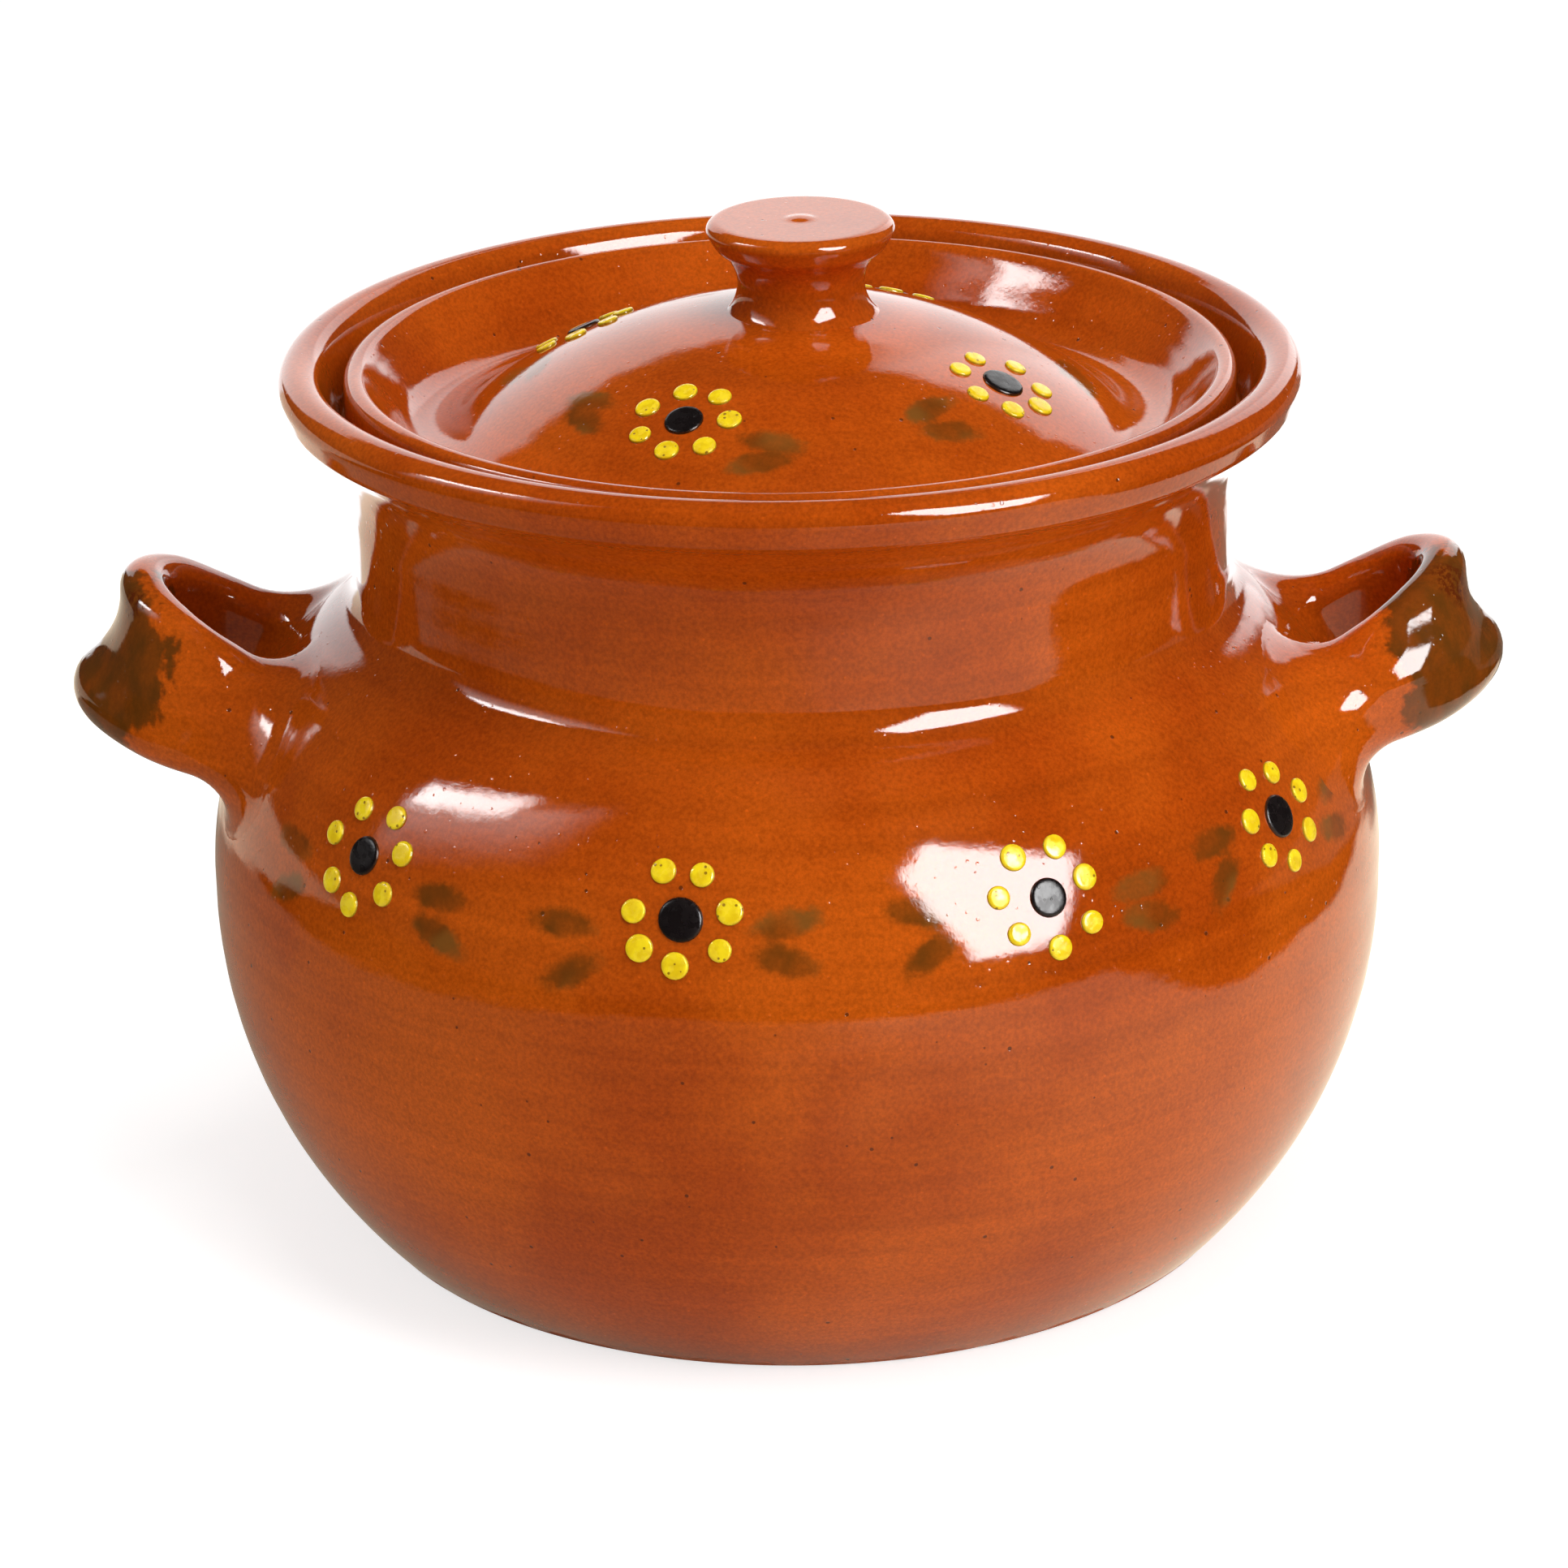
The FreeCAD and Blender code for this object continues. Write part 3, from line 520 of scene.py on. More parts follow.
def makeWheel():
    # a node tree that turns a profile into a thrown wall
    tree, wires, given = newTree("pottersWheel", {
        "Profile": "Geometry", "Segments": "Int", "Ring Depth": "Float",
        "Ring Spacing": "Float", "Off Centre": "Float", "Seed": "Int",
        "Glaze": "Material"}, "Wall")
    times = wires.times
    rows = wires.node("GeometryNodeAttributeDomainSize",
                      given["Profile"]).outputs["Point Count"]
    columns = wires.plus(given["Segments"], 1)
    grid = wires.node("GeometryNodeMeshGrid", 1.0, 1.0, columns, rows)
    index = wires.node("GeometryNodeInputIndex")
    column = wires.calc("FLOOR", wires.calc("DIVIDE", wires.plus(index, 0.5), rows))
    row = wires.minus(index, times(column, rows))
    turn = times(wires.calc("DIVIDE", column, given["Segments"]), 2 * pi)
    sine = wires.calc("SINE", turn)
    cosine = wires.calc("COSINE", turn)

    def fromProfile(value, kind):
        made = wires.node("GeometryNodeSampleIndex", data_type=kind, domain="POINT")
        return result(wires.fill(made, {"Geometry": given["Profile"], "Value": value,
                                        "Index": row}))

    def stored(name, kind):
        return fromProfile(wires.node("GeometryNodeInputNamedAttribute", name,
                                      data_type=kind), kind)

    def around(vector):
        parts = wires.split(vector)
        return wires.join(times(parts["X"], sine), times(parts["X"], cosine), parts["Z"])

    # the hand's marks: bands that wander slowly round the wall, always into the clay
    plain = around(fromProfile(wires.node("GeometryNodeInputPosition"), "FLOAT_VECTOR"))
    band = wires.split(plain)
    reading = wires.join(times(band["X"], 9.0), times(band["Y"], 9.0),
                         wires.calc("DIVIDE", band["Z"], given["Ring Spacing"]))
    noise = wires.fill(wires.node("ShaderNodeTexNoise", noise_dimensions="4D"), {
        "Vector": reading, "W": given["Seed"], "Scale": 1.0, "Detail": 1.0})
    depth = times(noise.outputs["Fac"], stored("marked", "FLOAT"), given["Ring Depth"])
    push = wires.sized(around(stored("inward", "FLOAT_VECTOR")), depth)
    aside = wires.join(given["Off Centre"], 0.0, 0.0)
    place = wires.vector("ADD", wires.vector("ADD", plain, push), aside)
    placed = wires.node("GeometryNodeSetPosition", grid, None, place)
    closed = wires.fill(wires.node("GeometryNodeMergeByDistance", placed),
                        {"Distance": 2 * seam})
    closeTree(wires, wires.node("GeometryNodeSetShadeSmooth", closed), given["Glaze"])
    return tree


def keepPiece(name, mesh):
    # closes the seams, turns every face outwards and gives the mesh its piece
    work = bmesh.new()
    work.from_mesh(mesh)
    bmesh.ops.remove_doubles(work, verts=work.verts, dist=seam)
    bmesh.ops.recalc_face_normals(work, faces=work.faces)
    work.to_mesh(mesh)
    work.free()
    mesh.shade_smooth()
    return newObject(name, mesh)


def runTree(start, tree, values, name):
    # gives the modifier its inputs, and keeps the result as a plain mesh
    base = newObject(name + "Base", start)
    modifier = base.modifiers.new(tree.name, "NODES")
    modifier.node_group = tree
    for item in tree.interface.items_tree:
        if item.item_type == "SOCKET" and item.in_out == "INPUT" and item.name in values:
            modifier[item.identifier] = values[item.name]
    base.update_tag()
    view = bpy.context.evaluated_depsgraph_get()
    view.update()
    mesh = bpy.data.meshes.new_from_object(base.evaluated_get(view))
    base.modifiers.clear()
    bpy.data.objects.remove(base)
    mesh.name = name
    return keepPiece(name, mesh)


def throwOnWheel(name, profile, sizes):
    across = np.gradient(profile[:, :2], axis=0)
    across /= np.maximum(np.linalg.norm(across, axis=1), 1e-9)[:, None]
    rows = [(r * mm, 0.0, z * mm) for r, z, _ in profile]
    joins = [(i, i + 1) for i in range(len(rows) - 1)]
    mesh = newMesh(name + "Profile", rows, joins, [])
    side = sizes.get("claySide", 1.0)
    store(mesh, "inward", "FLOAT_VECTOR", np.column_stack(
        [-across[:, 1] * side, np.zeros(len(rows)), across[:, 0] * side]))
    store(mesh, "marked", "FLOAT", profile[:, 2])
    return runTree(mesh, wheel, {
        "Segments": sizes["segments"], "Ring Depth": sizes["ringDepth"] * mm,
        "Ring Spacing": sizes["ringSpacing"] * mm, "Seed": 7, "Glaze": glaze,
        "Off Centre": sizes.get("offCentre", 0.0) * mm}, name)


wheel = makeWheel()
potWall = throwOnWheel("potWall", potProfile(), potSize)
lidPlate = throwOnWheel("lidPlate", lidProfile(), lidSize)
lidKnob = throwOnWheel("lidKnob", knobProfile(), knobSize)
print("pot, lid and knob thrown:", len(potWall.data.polygons), len(lidPlate.data.polygons))


# brushed leaves: each wall point keeps how far inside its nearest leaf it lies
leafSize = {"halfLength": 6.6, "halfWidth": 2.9, "deep": 4.0, "outside": 2.0}
potLeaves = [  # angle from the front, height, tilt of the stroke
    (-58.8, 96.4, 0), (-58.0, 88.4, 24), (-36.6, 97.4, 4), (-35.9, 90.8, -18),
    (-22.7, 97.5, -2), (-21.6, 89.4, 28), (-1.2, 99.8, 12), (-1.3, 93.6, -14),
    (11.3, 100.6, -8), (12.0, 93.2, 34), (34.6, 98.4, 5), (35.0, 92.9, -12),
    (44.9, 101.1, 2), (44.9, 94.1, 46), (67.6, 98.8, 6), (65.4, 91.8, -16),
    (121.6, 98.2, 0), (122.2, 90.6, 26), (142.9, 99.4, 8), (143.1, 92.8, -16),
    (157.4, 98.6, -3), (158.2, 91.0, 30), (179.0, 99.6, 10), (179.2, 93.0, -15),
    (193.2, 98.0, 1), (193.9, 90.5, 25), (214.6, 99.2, 7), (214.9, 92.6, -13),
    (224.6, 98.8, -2), (225.3, 91.2, 29), (246.2, 99.0, 9), (246.4, 92.4, -17),
]
lidLeaves = [  # angle from the front, distance from the middle, tilt of the stroke
    (-55.2, 45.8, 12), (-51.5, 49.7, -16), (-3.7, 48.9, -14), (-6.5, 53.2, 14),
    (35.2, 44.6, 14), (36.0, 50.4, -14), (93.1, 53.8, -12), (88.9, 56.7, 10),
    (125.0, 45.5, 12), (128.0, 50.5, -14), (179.0, 48.0, -12), (176.0, 53.0, 14),
    (215.0, 45.0, 14), (218.0, 50.5, -14), (269.0, 48.5, -14), (266.0, 53.5, 12),
]


def storeLeaves(piece, leaves):
    mesh = piece.data
    points = np.array([vertex.co for vertex in mesh.vertices]) / mm
    outside = leafSize["outside"]
    reach = np.full(len(points), outside)
    for centre, out, tilt in leaves:
        east = np.cross((0, 0, 1.0), out)
        east /= np.linalg.norm(east)
        up = np.cross(out, east)
        turn = radians(tilt)
        along = east * cos(turn) + up * sin(turn)
        over = up * cos(turn) - east * sin(turn)
        delta = points - centre
        far = np.hypot(delta @ along / leafSize["halfLength"],
                       delta @ over / leafSize["halfWidth"])
        far[np.abs(delta @ out) > leafSize["deep"]] = outside
        reach = np.minimum(reach, far)
    store(mesh, "leafCover", "FLOAT", outside - reach)


def wayOut(turn, tilt):
    return np.array((cos(turn) * cos(tilt), sin(turn) * cos(tilt),
                     sin(tilt)))


def onShoulder(angle, height):
    s = potSize
    tilt = asin((height - s["bellyHigh"]) / s["shoulderCurve"])
    turn = radians(angle - 90)
    ring = s["bellyRadius"] - s["shoulderCurve"] + s["shoulderCurve"] * cos(tilt)
    return (np.array((ring * cos(turn), ring * sin(turn), height)),
            wayOut(turn, tilt))


def onDome(angle, ring):
    s = lidSize
    low = s["ledge"] + s["rise"] + s["domeRise"] - s["domeCurve"]
    out = wayOut(radians(angle - 90), acos(ring / s["domeCurve"]))
    return out * s["domeCurve"] + np.array((0, 0, low)), out


storeLeaves(potWall, [(*onShoulder(a, h), t) for a, h, t in potLeaves])
storeLeaves(lidPlate, [(*onDome(a, r), t) for a, r, t in lidLeaves])
print("leaves brushed on")


# strap handles, pulled from a strip and smoothed into the shoulder
handleSize = {
    "loopOut": 109.5, "loopRadius": 17.0, "half": 4.5, "top": 118.5, "bottom": 92.5,
    "rise": 14.2, "lift": 9.0, "lobeHalf": 7.4, "reach": 21.0, "flare": 6.0,
    "lean": 18.0, "length": 95.4, "steps": 637, "rows": 120, "roundRows": 14,
    "wideReach": 30.0, "counts": (14, 15, 18, 13),    # roll, outer face, lobe, inner face
}
handleHands = {
    "left": {"side": -1.0, "lobeReach": 7.3, "drop": 0.8, "rootRise": -0.5,
             "swell": 2.6, "rootWide": 0.0},
    "right": {"side": 1.0, "lobeReach": 4.8, "drop": -2.4, "rootRise": 4.2,
              "swell": 4.2, "rootWide": 3.6},
}
# how far the thumb spread the clay at a root: at the inner face, lower edge, outer face
# and upper edge
rootRounds = {"front": (4.5, 7.0, 13.0, 7.0), "back": (5.0, 7.0, 9.0, 12.0)}
# the skirt hidden in the wall: further out along it, height over it
rootSkirt = ((6.5, -1.0), (4.6, -0.32), (2.4, -0.10))
# along the strap: place, rise, lift, lobe, lean, flare
handleStations = np.array([
    (0.0, -0.85, -0.25, 0.05, 1.0, 0.8),
    (14.07, -0.1, 0.08, 0.05, 1.0, 0.3),
    (21.0, 0.28, 0.26, 0.05, 0.9, 0.0),
    (34.35, 0.80, 0.70, 0.30, 0.5, 0.0),
    (47.7, 1.0, 1.0, 1.0, 0.0, 0.0),
    (61.05, 0.80, 0.66, 0.30, 0.3, 0.0),
    (74.4, 0.28, 0.18, 0.05, 0.4, 0.0),
    (81.33, 0.0, 0.0, 0.05, 0.4, 0.4),
    (95.4, -0.55, -0.3, 0.05, 0.4, 1.0),
])


def throughStations(places, column):
    # a smooth curve through the stations' values
    x = handleStations[:, 0]
    y = handleStations[:, column]
    slope = np.gradient(y, x)
    at = np.clip(np.searchsorted(x, places, side="right") - 1, 0, len(x) - 2)
    wide = x[at + 1] - x[at]
    t = (places - x[at]) / wide
    past = 3 * t ** 2 - 2 * t ** 3
    return ((1 - past) * y[at] + past * y[at + 1] + wide * (
        (t ** 3 - 2 * t ** 2 + t) * slope[at] + (t ** 3 - t ** 2) * slope[at + 1]))


def strapSection(hand, rise, lift, lobe, lean, flare):
    # drawn from the middle of the upper roll, then leant about it
    s = handleSize
    upper = s["half"] + 0.3 * flare * s["flare"]
    lower = upper + lobe * (s["lobeHalf"] - s["half"])
    top = s["top"] + rise * s["rise"] - s["half"]
    bottom = s["bottom"] + lift * s["lift"] - flare * s["flare"] - hand["drop"] + lower
    reach = lobe * hand["lobeReach"]
    high = top - bottom
    aside = upper - reach
    pinch = (aside ** 2 + high ** 2 - lower ** 2) / (2 * (lower - aside))
    ends = atan2(high, aside + pinch)

    def sweep(x, y, radius, start, end, count):
        turn = np.linspace(start, end, count)[:-1]
        return x + radius * np.cos(turn), y + radius * np.sin(turn)

    roll, outer, thumb, inner = s["counts"]
    share = np.linspace(0, 1, inner)[:-1]
    x, y = np.hstack([
        sweep(0, 0, upper, pi, 0, roll), sweep(upper + pinch, 0, -pinch, 0, ends, outer),
        sweep(reach, -high, lower, ends, -pi, thumb),
        ((1 - share) * (reach - lower) - share * upper, share * high - high)])
    share = np.clip((y + high + lower) / (upper + high + lower), 0, 1)
    x += hand["swell"] * (1 - lobe) * np.sin(pi * share) ** 2 * (x > 0)
    slope = radians(lean * s["lean"])
    return np.column_stack([s["loopRadius"] + x * cos(slope) - y * sin(slope),
                            top + x * sin(slope) + y * cos(slope)])


wallLine = np.array(potOutside(0.5)[0])[:, :2]


def offWall(points):
    # distance from the pot's outside, and the way out of the wall there
    flat = points.reshape(-1, 3)
    spots = np.column_stack([np.hypot(flat[:, 0], flat[:, 1]), flat[:, 2]])
    best = np.full(len(flat), 1e9)
    out = np.zeros((len(flat), 2))
    for start, move in zip(wallLine, np.diff(wallLine, axis=0)):
        size = max(move @ move, 1e-12)
        gap = spots - start
        gap -= np.clip(gap @ move / size, 0, 1)[:, None] * move
        far = np.hypot(*gap.T)
        side = np.array((move[1], -move[0])) / sqrt(size)
        sign = np.where(gap @ side >= 0, 1.0, -1.0)
        near = far < np.abs(best) - 1e-9
        best[near] = (far * sign)[near]
        out[near] = side
    turn = np.arctan2(flat[:, 1], flat[:, 0])
    flatOut, upOut = out.T
    normal = np.column_stack([flatOut * np.cos(turn), flatOut * np.sin(turn), upOut])
    return best.reshape(points.shape[:-1]), normal.reshape(points.shape)


def facingOut(net):
    # the way out of the strap at each point of its net
    along = np.gradient(net, axis=0)
    over = np.roll(net, -1, axis=1) - np.roll(net, 1, axis=1)
    normal = np.cross(over, along)
    normal /= np.maximum(np.linalg.norm(normal, axis=2), 1e-9)[..., None]
    middle = net.mean(axis=1, keepdims=True)
    return normal * np.sign(((net - middle) * normal).sum())


def rootAt(away, places, wanted):
    # first place along a line, walked out of the wall, that is so far off the wall
    past = int(np.argmax(away > wanted))
    share = (wanted - away[past - 1]) / (away[past] - away[past - 1])
    return places[past - 1] + share * (places[past] - places[past - 1])


def tubeFaces(first, last, around):
    # the quads between rings of points, from the first ring's start to the last one's
    return [(i + j, i + around + j, i + around + (j + 1) % around, i + (j + 1) % around)
            for i in range(first, last, around) for j in range(around)]


def pullHandle(name, hand):
    s = handleSize
    loop = s["length"] - 2 * s["reach"]
    places = np.linspace(0, s["length"], s["steps"])
    values = [throughStations(places, column) for column in (1, 2, 3, 4, 5)]
    rootShare = np.clip(1 - places / s["reach"], 0, 1) ** 2
    values[0] = values[0] + hand["rootRise"] / s["rise"] * rootShare
    sections = []
    for number, place in enumerate(places):
        section = strapSection(hand, *(value[number] for value in values))
        back = max(0.0, s["reach"] - place, place - s["reach"] - loop)
        turn = radians(np.clip((place - s["reach"]) / loop, 0, 1) * 180 - 90)
        wide = hand["rootWide"] * np.clip(1 - place / s["wideReach"], 0, 1) ** 1.3
        sections.append(np.column_stack([
            s["loopOut"] - back + section[:, 0] * cos(turn),
            section[:, 0] * sin(turn) - wide, section[:, 1]]))
    strap = np.array(sections)
    away, _ = offWall(strap)
    normal = facingOut(strap)
    # the round at a root differs with the way a line faces across the strap
    third = len(places) // 3
    bearing = {}
    for end, row, flip in (("front", third, -1), ("back", -third, 1)):
        x, y, z = normal[row].T
        turn = np.degrees(np.arctan2(z, np.hypot(x, y) * np.sign(y) * flip))
        inner, low, face, up = rootRounds[end]
        bearing[end] = np.interp(turn, (-180, -90, 0, 90, 180),
                                 (inner, low, face, up, inner))
    # each lengthwise line: a skirt just under the wall, the round, the free strap
    turns = np.radians(np.linspace(90, 0, s["roundRows"]))
    lines = []
    for k in range(strap.shape[1]):
        ends = []
        for end, flip in (("front", 1), ("back", -1)):
            wide = bearing[end][k]
            off = wide * (1 - np.sin(turns))
            at = [rootAt(away[::flip, k], places[::flip], far) for far in off]
            ends.append([(at[0], wide + more, deep, 1.0) for more, deep in rootSkirt]
                        + [(a, wide * (1 - cos(t)), far, 1.0)
                           for a, t, far in zip(at, turns, off)])
        free = np.linspace(ends[0][-1][0], ends[1][-1][0], s["rows"] + 2)[1:-1]
        lines.append(ends[0] + [(place, 0.0, 0.0, 0.0) for place in free] + ends[1][::-1])
    at, spread, depth, rooted = np.moveaxis(np.array(lines), 0, 1).transpose(2, 0, 1)
    net = np.empty(at.shape + (3,))
    facing = np.empty(at.shape + (3,))
    for k, axis in np.ndindex(net.shape[1:]):
        net[:, k, axis] = np.interp(at[:, k], places, strap[:, k, axis])
        facing[:, k, axis] = np.interp(at[:, k], places, normal[:, k, axis])
    _, out = offWall(net)
    aside = facing - (facing * out).sum(2, keepdims=True) * out
    aside /= np.maximum(np.linalg.norm(aside, axis=2), 1e-6)[..., None]
    moved = net + aside * spread[..., None]
    for _ in range(2):
        now, out = offWall(moved)
        moved += out * (rooted * (depth - now))[..., None]
    moved[..., 0] *= hand["side"]
    moved[..., 0] = np.clip(moved[..., 0], cadBox[0][0] / mm, cadBox[1][0] / mm)
    rows, around = moved.shape[:2]
    last = (rows - 1) * around
    faces = tubeFaces(0, last, around) + [tuple(range(around)),
                                          tuple(range(last, last + around))]
    mesh = newMesh(name, [tuple(point) for point in moved.reshape(-1, 3) * mm], [], faces)
    mesh.materials.append(glaze)
    return keepPiece(name, mesh)


handleLeft = pullHandle("handleLeft", handleHands["left"])
handleRight = pullHandle("handleRight", handleHands["right"])
print("handles pulled")


dotSize = {
    "petals": 7, "firstPetal": 14.0, "rise": 0.62, "sink": 0.35, "uneven": 0.09,
    "around": 24,
}
# angles from the front, height on the shoulder or ring on the dome, and the radius of the
# ring of petals, of a petal and of an eye
flowers = {
    "Pot": {"angles": (-47.4, -11.3, 24.4, 55.7, 132.6, 168.7, 204.4, 235.7),
            "place": 100.0, "ring": 9.2, "petal": 2.4, "eye": 4.0, "seeds": (3, 5)},
    "Lid": {"angles": (-26.2, 63.0, 153.0, 243.0),
            "place": 45.0, "ring": 8.8, "petal": 2.3, "eye": 3.9, "seeds": (8, 9)},
}


def makeDot():
    # one dot of radius 1 and height 1, flat on top with a round edge and a hidden skirt
    steps = [(0.0, 1.0), (0.35, 1.0), (0.62, 0.99), (0.78, 0.955), (0.88, 0.88),
             (0.95, 0.72), (0.985, 0.46), (1.0, 0.15), (1.0, -0.6)]
    around = dotSize["around"]
    points = [(0.0, 0.0, 1.0)]
    outward = [0.0]
    for r, z in steps[1:]:
        for k in range(around):
            turn = 2 * pi * k / around
            points.append((r * cos(turn), r * sin(turn), z))
            outward.append(r if z > 0.2 else 1.0)
    last = 1 + (len(steps) - 2) * around
    faces = [(0, 1 + k, 1 + (k + 1) % around) for k in range(around)]
    faces += tubeFaces(1, last, around)
    faces.append(tuple(reversed(range(last, last + around))))
    mesh = newMesh("oneDot", points, [], faces)
    store(mesh, "outward", "FLOAT", outward)
    mesh.shade_smooth()
    return newObject("oneDot", mesh)


def makeTrailer():
    # a node tree that trails flowers of dots on a wall
    tree, wires, given = newTree("slipTrailer", {
        "Flowers": "Geometry", "Petals": "Int", "First Petal": "Float",
        "Ring Radius": "Float", "Dot Radius": "Float", "Dot Rise": "Float",
        "Sink": "Float", "Uneven": "Float", "Seed": "Int", "Wall": "Object",
        "Dot": "Object", "Slip": "Material"}, "Dots")
    times, plus = wires.times, wires.plus
    out = wires.node("GeometryNodeInputNamedAttribute", "out", data_type="FLOAT_VECTOR")
    copies = wires.fill(wires.node("GeometryNodeDuplicateElements", domain="POINT"),
                        {"Geometry": given["Flowers"], "Amount": given["Petals"]})

    def chance(low, high, salt):
        made = wires.node("FunctionNodeRandomValue", data_type="FLOAT")
        return result(wires.fill(made, {
            "Min": low, "Max": high, "ID": wires.node("GeometryNodeInputIndex"),
            "Seed": plus(given["Seed"], salt)}))

    def stray(value, far, salt):
        return plus(value, times(chance(-far, far, salt), given["Uneven"]))

    ring = times(given["Ring Radius"], stray(1.0, 1.0, 11))
    turn = wires.calc("DIVIDE", times(copies.outputs["Duplicate Index"], 2 * pi),
                      given["Petals"])
    turn = stray(plus(turn, given["First Petal"]), 1.0, 23)
    east = wires.vector("NORMALIZE", wires.vector("CROSS_PRODUCT", (0.0, 0.0, 1.0), out))
    up = wires.vector("CROSS_PRODUCT", out, east)
    offset = wires.vector("ADD", wires.sized(east, times(ring, wires.calc("COSINE", turn))),
                          wires.sized(up, times(ring, wires.calc("SINE", turn))))
    spots = wires.node("GeometryNodeSetPosition", copies.outputs["Geometry"], None, None,
                       offset)
    # drop each spot on the wall and take the wall's own direction there
    wall = wires.node("GeometryNodeObjectInfo", given["Wall"]).outputs["Geometry"]
    nearest = wires.node("GeometryNodeProximity", wall, target_element="FACES")
    facing = wires.fill(
        wires.node("GeometryNodeSampleNearestSurface", wall, data_type="FLOAT_VECTOR"),
        {"Value": wires.node("GeometryNodeInputNormal")})
    lower = wires.sized(facing, times(given["Sink"], -1.0))
    kept = wires.node("GeometryNodeCaptureAttribute", domain="POINT")
    kept.capture_items.new("VECTOR", "facing")
    wires.fill(kept, {"Geometry": spots, "facing": facing})
    onWall = wires.node("GeometryNodeSetPosition", kept.outputs["Geometry"], None,
                        wires.vector("ADD", nearest.outputs["Position"], lower))
    turned = wires.fill(wires.node("FunctionNodeAlignRotationToVector", axis="Z"),
                        {"Vector": kept.outputs["facing"]})
    angle = wires.join(0.0, 0.0, chance(0.0, 6.283, 37))
    spin = wires.node("FunctionNodeRotateRotation", turned,
                      wires.node("FunctionNodeEulerToRotation", angle),
                      rotation_space="LOCAL")
    wide = times(given["Dot Radius"], stray(1.0, 1.0, 41))
    long = times(wide, stray(1.0, 0.5, 53))
    size = wires.join(wide, long, plus(given["Dot Rise"], given["Sink"]))
    dots = wires.fill(wires.node("GeometryNodeInstanceOnPoints"), {
        "Points": onWall, "Rotation": spin, "Scale": size,
        "Instance": wires.node("GeometryNodeObjectInfo", given["Dot"]).outputs["Geometry"]})
    closeTree(wires, dots, given["Slip"])
    return tree


def trailDots(name, wall, centres, petals, ringRadius, radius, slip, seed):
    mesh = newMesh(name + "Centres", [tuple(point * mm) for point, _ in centres], [], [])
    store(mesh, "out", "FLOAT_VECTOR", [way for _, way in centres])
    return runTree(mesh, trailer, {
        "Petals": petals, "First Petal": radians(dotSize["firstPetal"]),
        "Ring Radius": ringRadius * mm, "Dot Radius": radius * mm,
        "Dot Rise": dotSize["rise"] * mm, "Sink": dotSize["sink"] * mm,
        "Uneven": dotSize["uneven"], "Seed": seed, "Wall": wall, "Dot": oneDot,
        "Slip": slip}, name)


def trailFlowers(label, wall, onWall):
    # the yellow petals and the black eyes of one wall
    size = flowers[label]
    centres = [onWall(angle, size["place"]) for angle in size["angles"]]
    first, second = size["seeds"]
    return (trailDots("yellowDots" + label, wall, centres, dotSize["petals"], size["ring"],
                      size["petal"], yellowSlip, first),
            trailDots("blackDots" + label, wall, centres, 1, 0.0, size["eye"], blackSlip,
                      second))


trailer = makeTrailer()
oneDot = makeDot()
yellowPot, blackPot = trailFlowers("Pot", potWall, onShoulder)
yellowLid, blackLid = trailFlowers("Lid", lidPlate, onDome)
bpy.data.objects.remove(oneDot)
print("dots trailed:", len(yellowPot.data.polygons), len(yellowLid.data.polygons))


# what rides on what
for piece, body, node, slot in (
        (potWall, "pot", "pot_body", "glazed_clay"),
        (handleLeft, "pot", "handle_left", "glazed_clay"),
        (handleRight, "pot", "handle_right", "glazed_clay"),
        (yellowPot, "pot", "yellow_dots_pot", "yellow_slip"),
        (blackPot, "pot", "black_dots_pot", "black_slip"),
        (lidPlate, "lid", "lid", "glazed_clay"),
        (lidKnob, "lid", "lid_knob", "glazed_clay"),
        (yellowLid, "lid", "yellow_dots_lid", "yellow_slip"),
        (blackLid, "lid", "black_dots_lid", "black_slip")):
    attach(piece, body)
    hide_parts(node)


# floor, light and camera
studio = {
    "floorHalf": 6.0, "floorColour": colour(0.95, 0.95, 0.95),
    "floorShown": colour(0.55, 0.54, 0.53), "floorGlow": 0.72, "floorRoughness": 0.9,
    # the mirror values set how brightly the floor glows for glossy rays, a painted
    # reflection of the lit table
    "mirrorNear": 0.34, "mirrorRight": 1.6, "mirrorFar": 1.9, "mirrorWaver": 0.16,
    "mirrorLeft": 1.2, "mirrorPast": 0.25, "mirrorTint": colour(1.0, 0.86, 0.66),
    "fill": 0.36, "dark": 0.03, "lampFar": 1.4, "lampAim": 0.09,
}
# where the mirrored table changes, across and along it; slant and wedge are slopes
tableEdges = {
    "across": (-0.10, 0.26), "front": (-1.20, -0.95), "left": (-0.46, -0.43),
    "right": (0.33, 0.30), "slantFrom": -0.11, "slant": 1.45, "pastPot": (0.20, 0.25),
    "pastLeft": (-0.16, -0.06), "wedge": 1.7,
}
# bright shapes round the pot: brightness, softness and edges. An edge (a, b, c) keeps the
# side where a * turn + b * lift is more than c, in degrees; a fourth number is its own
# softness
panels = {
    "backdrop": (1.9, 1.2, (1, 0.8, -26), (-1, 0.8, -22.5), (0.06, -1, -34.5), (1, 0, -39),
                 (-1, 0, -39), (0, 1, -2)),
    "right": (2.7, 1.2, (1, 0, 13, 6), (-1, 0.8, -22.5), (-1, 0, -40), (-0.35, -1, -50),
              (0, 1, -2)),
    "window": (30.0, 0.5, (0.55, -1, 31.2), (1.9, 1, 256.2), (0, 1, 10), (-2.8, 1, -399.6),
               (-1, 0, -156.5), (-0.84, -1, -172.5)),
    "side": (28.0, 1.0, (0.6, 1, -21.5, 2.2), (-0.6, -1, 13.5), (1, 0, -104, 3.0),
             (-1, 0, 83)),
    "haze": (4.2, 2.0, (0.6, 1, -31.0, 9.0), (-0.6, -1, 18.0), (1, 0, -118, 9.0),
             (-1, 0, 84)),
}
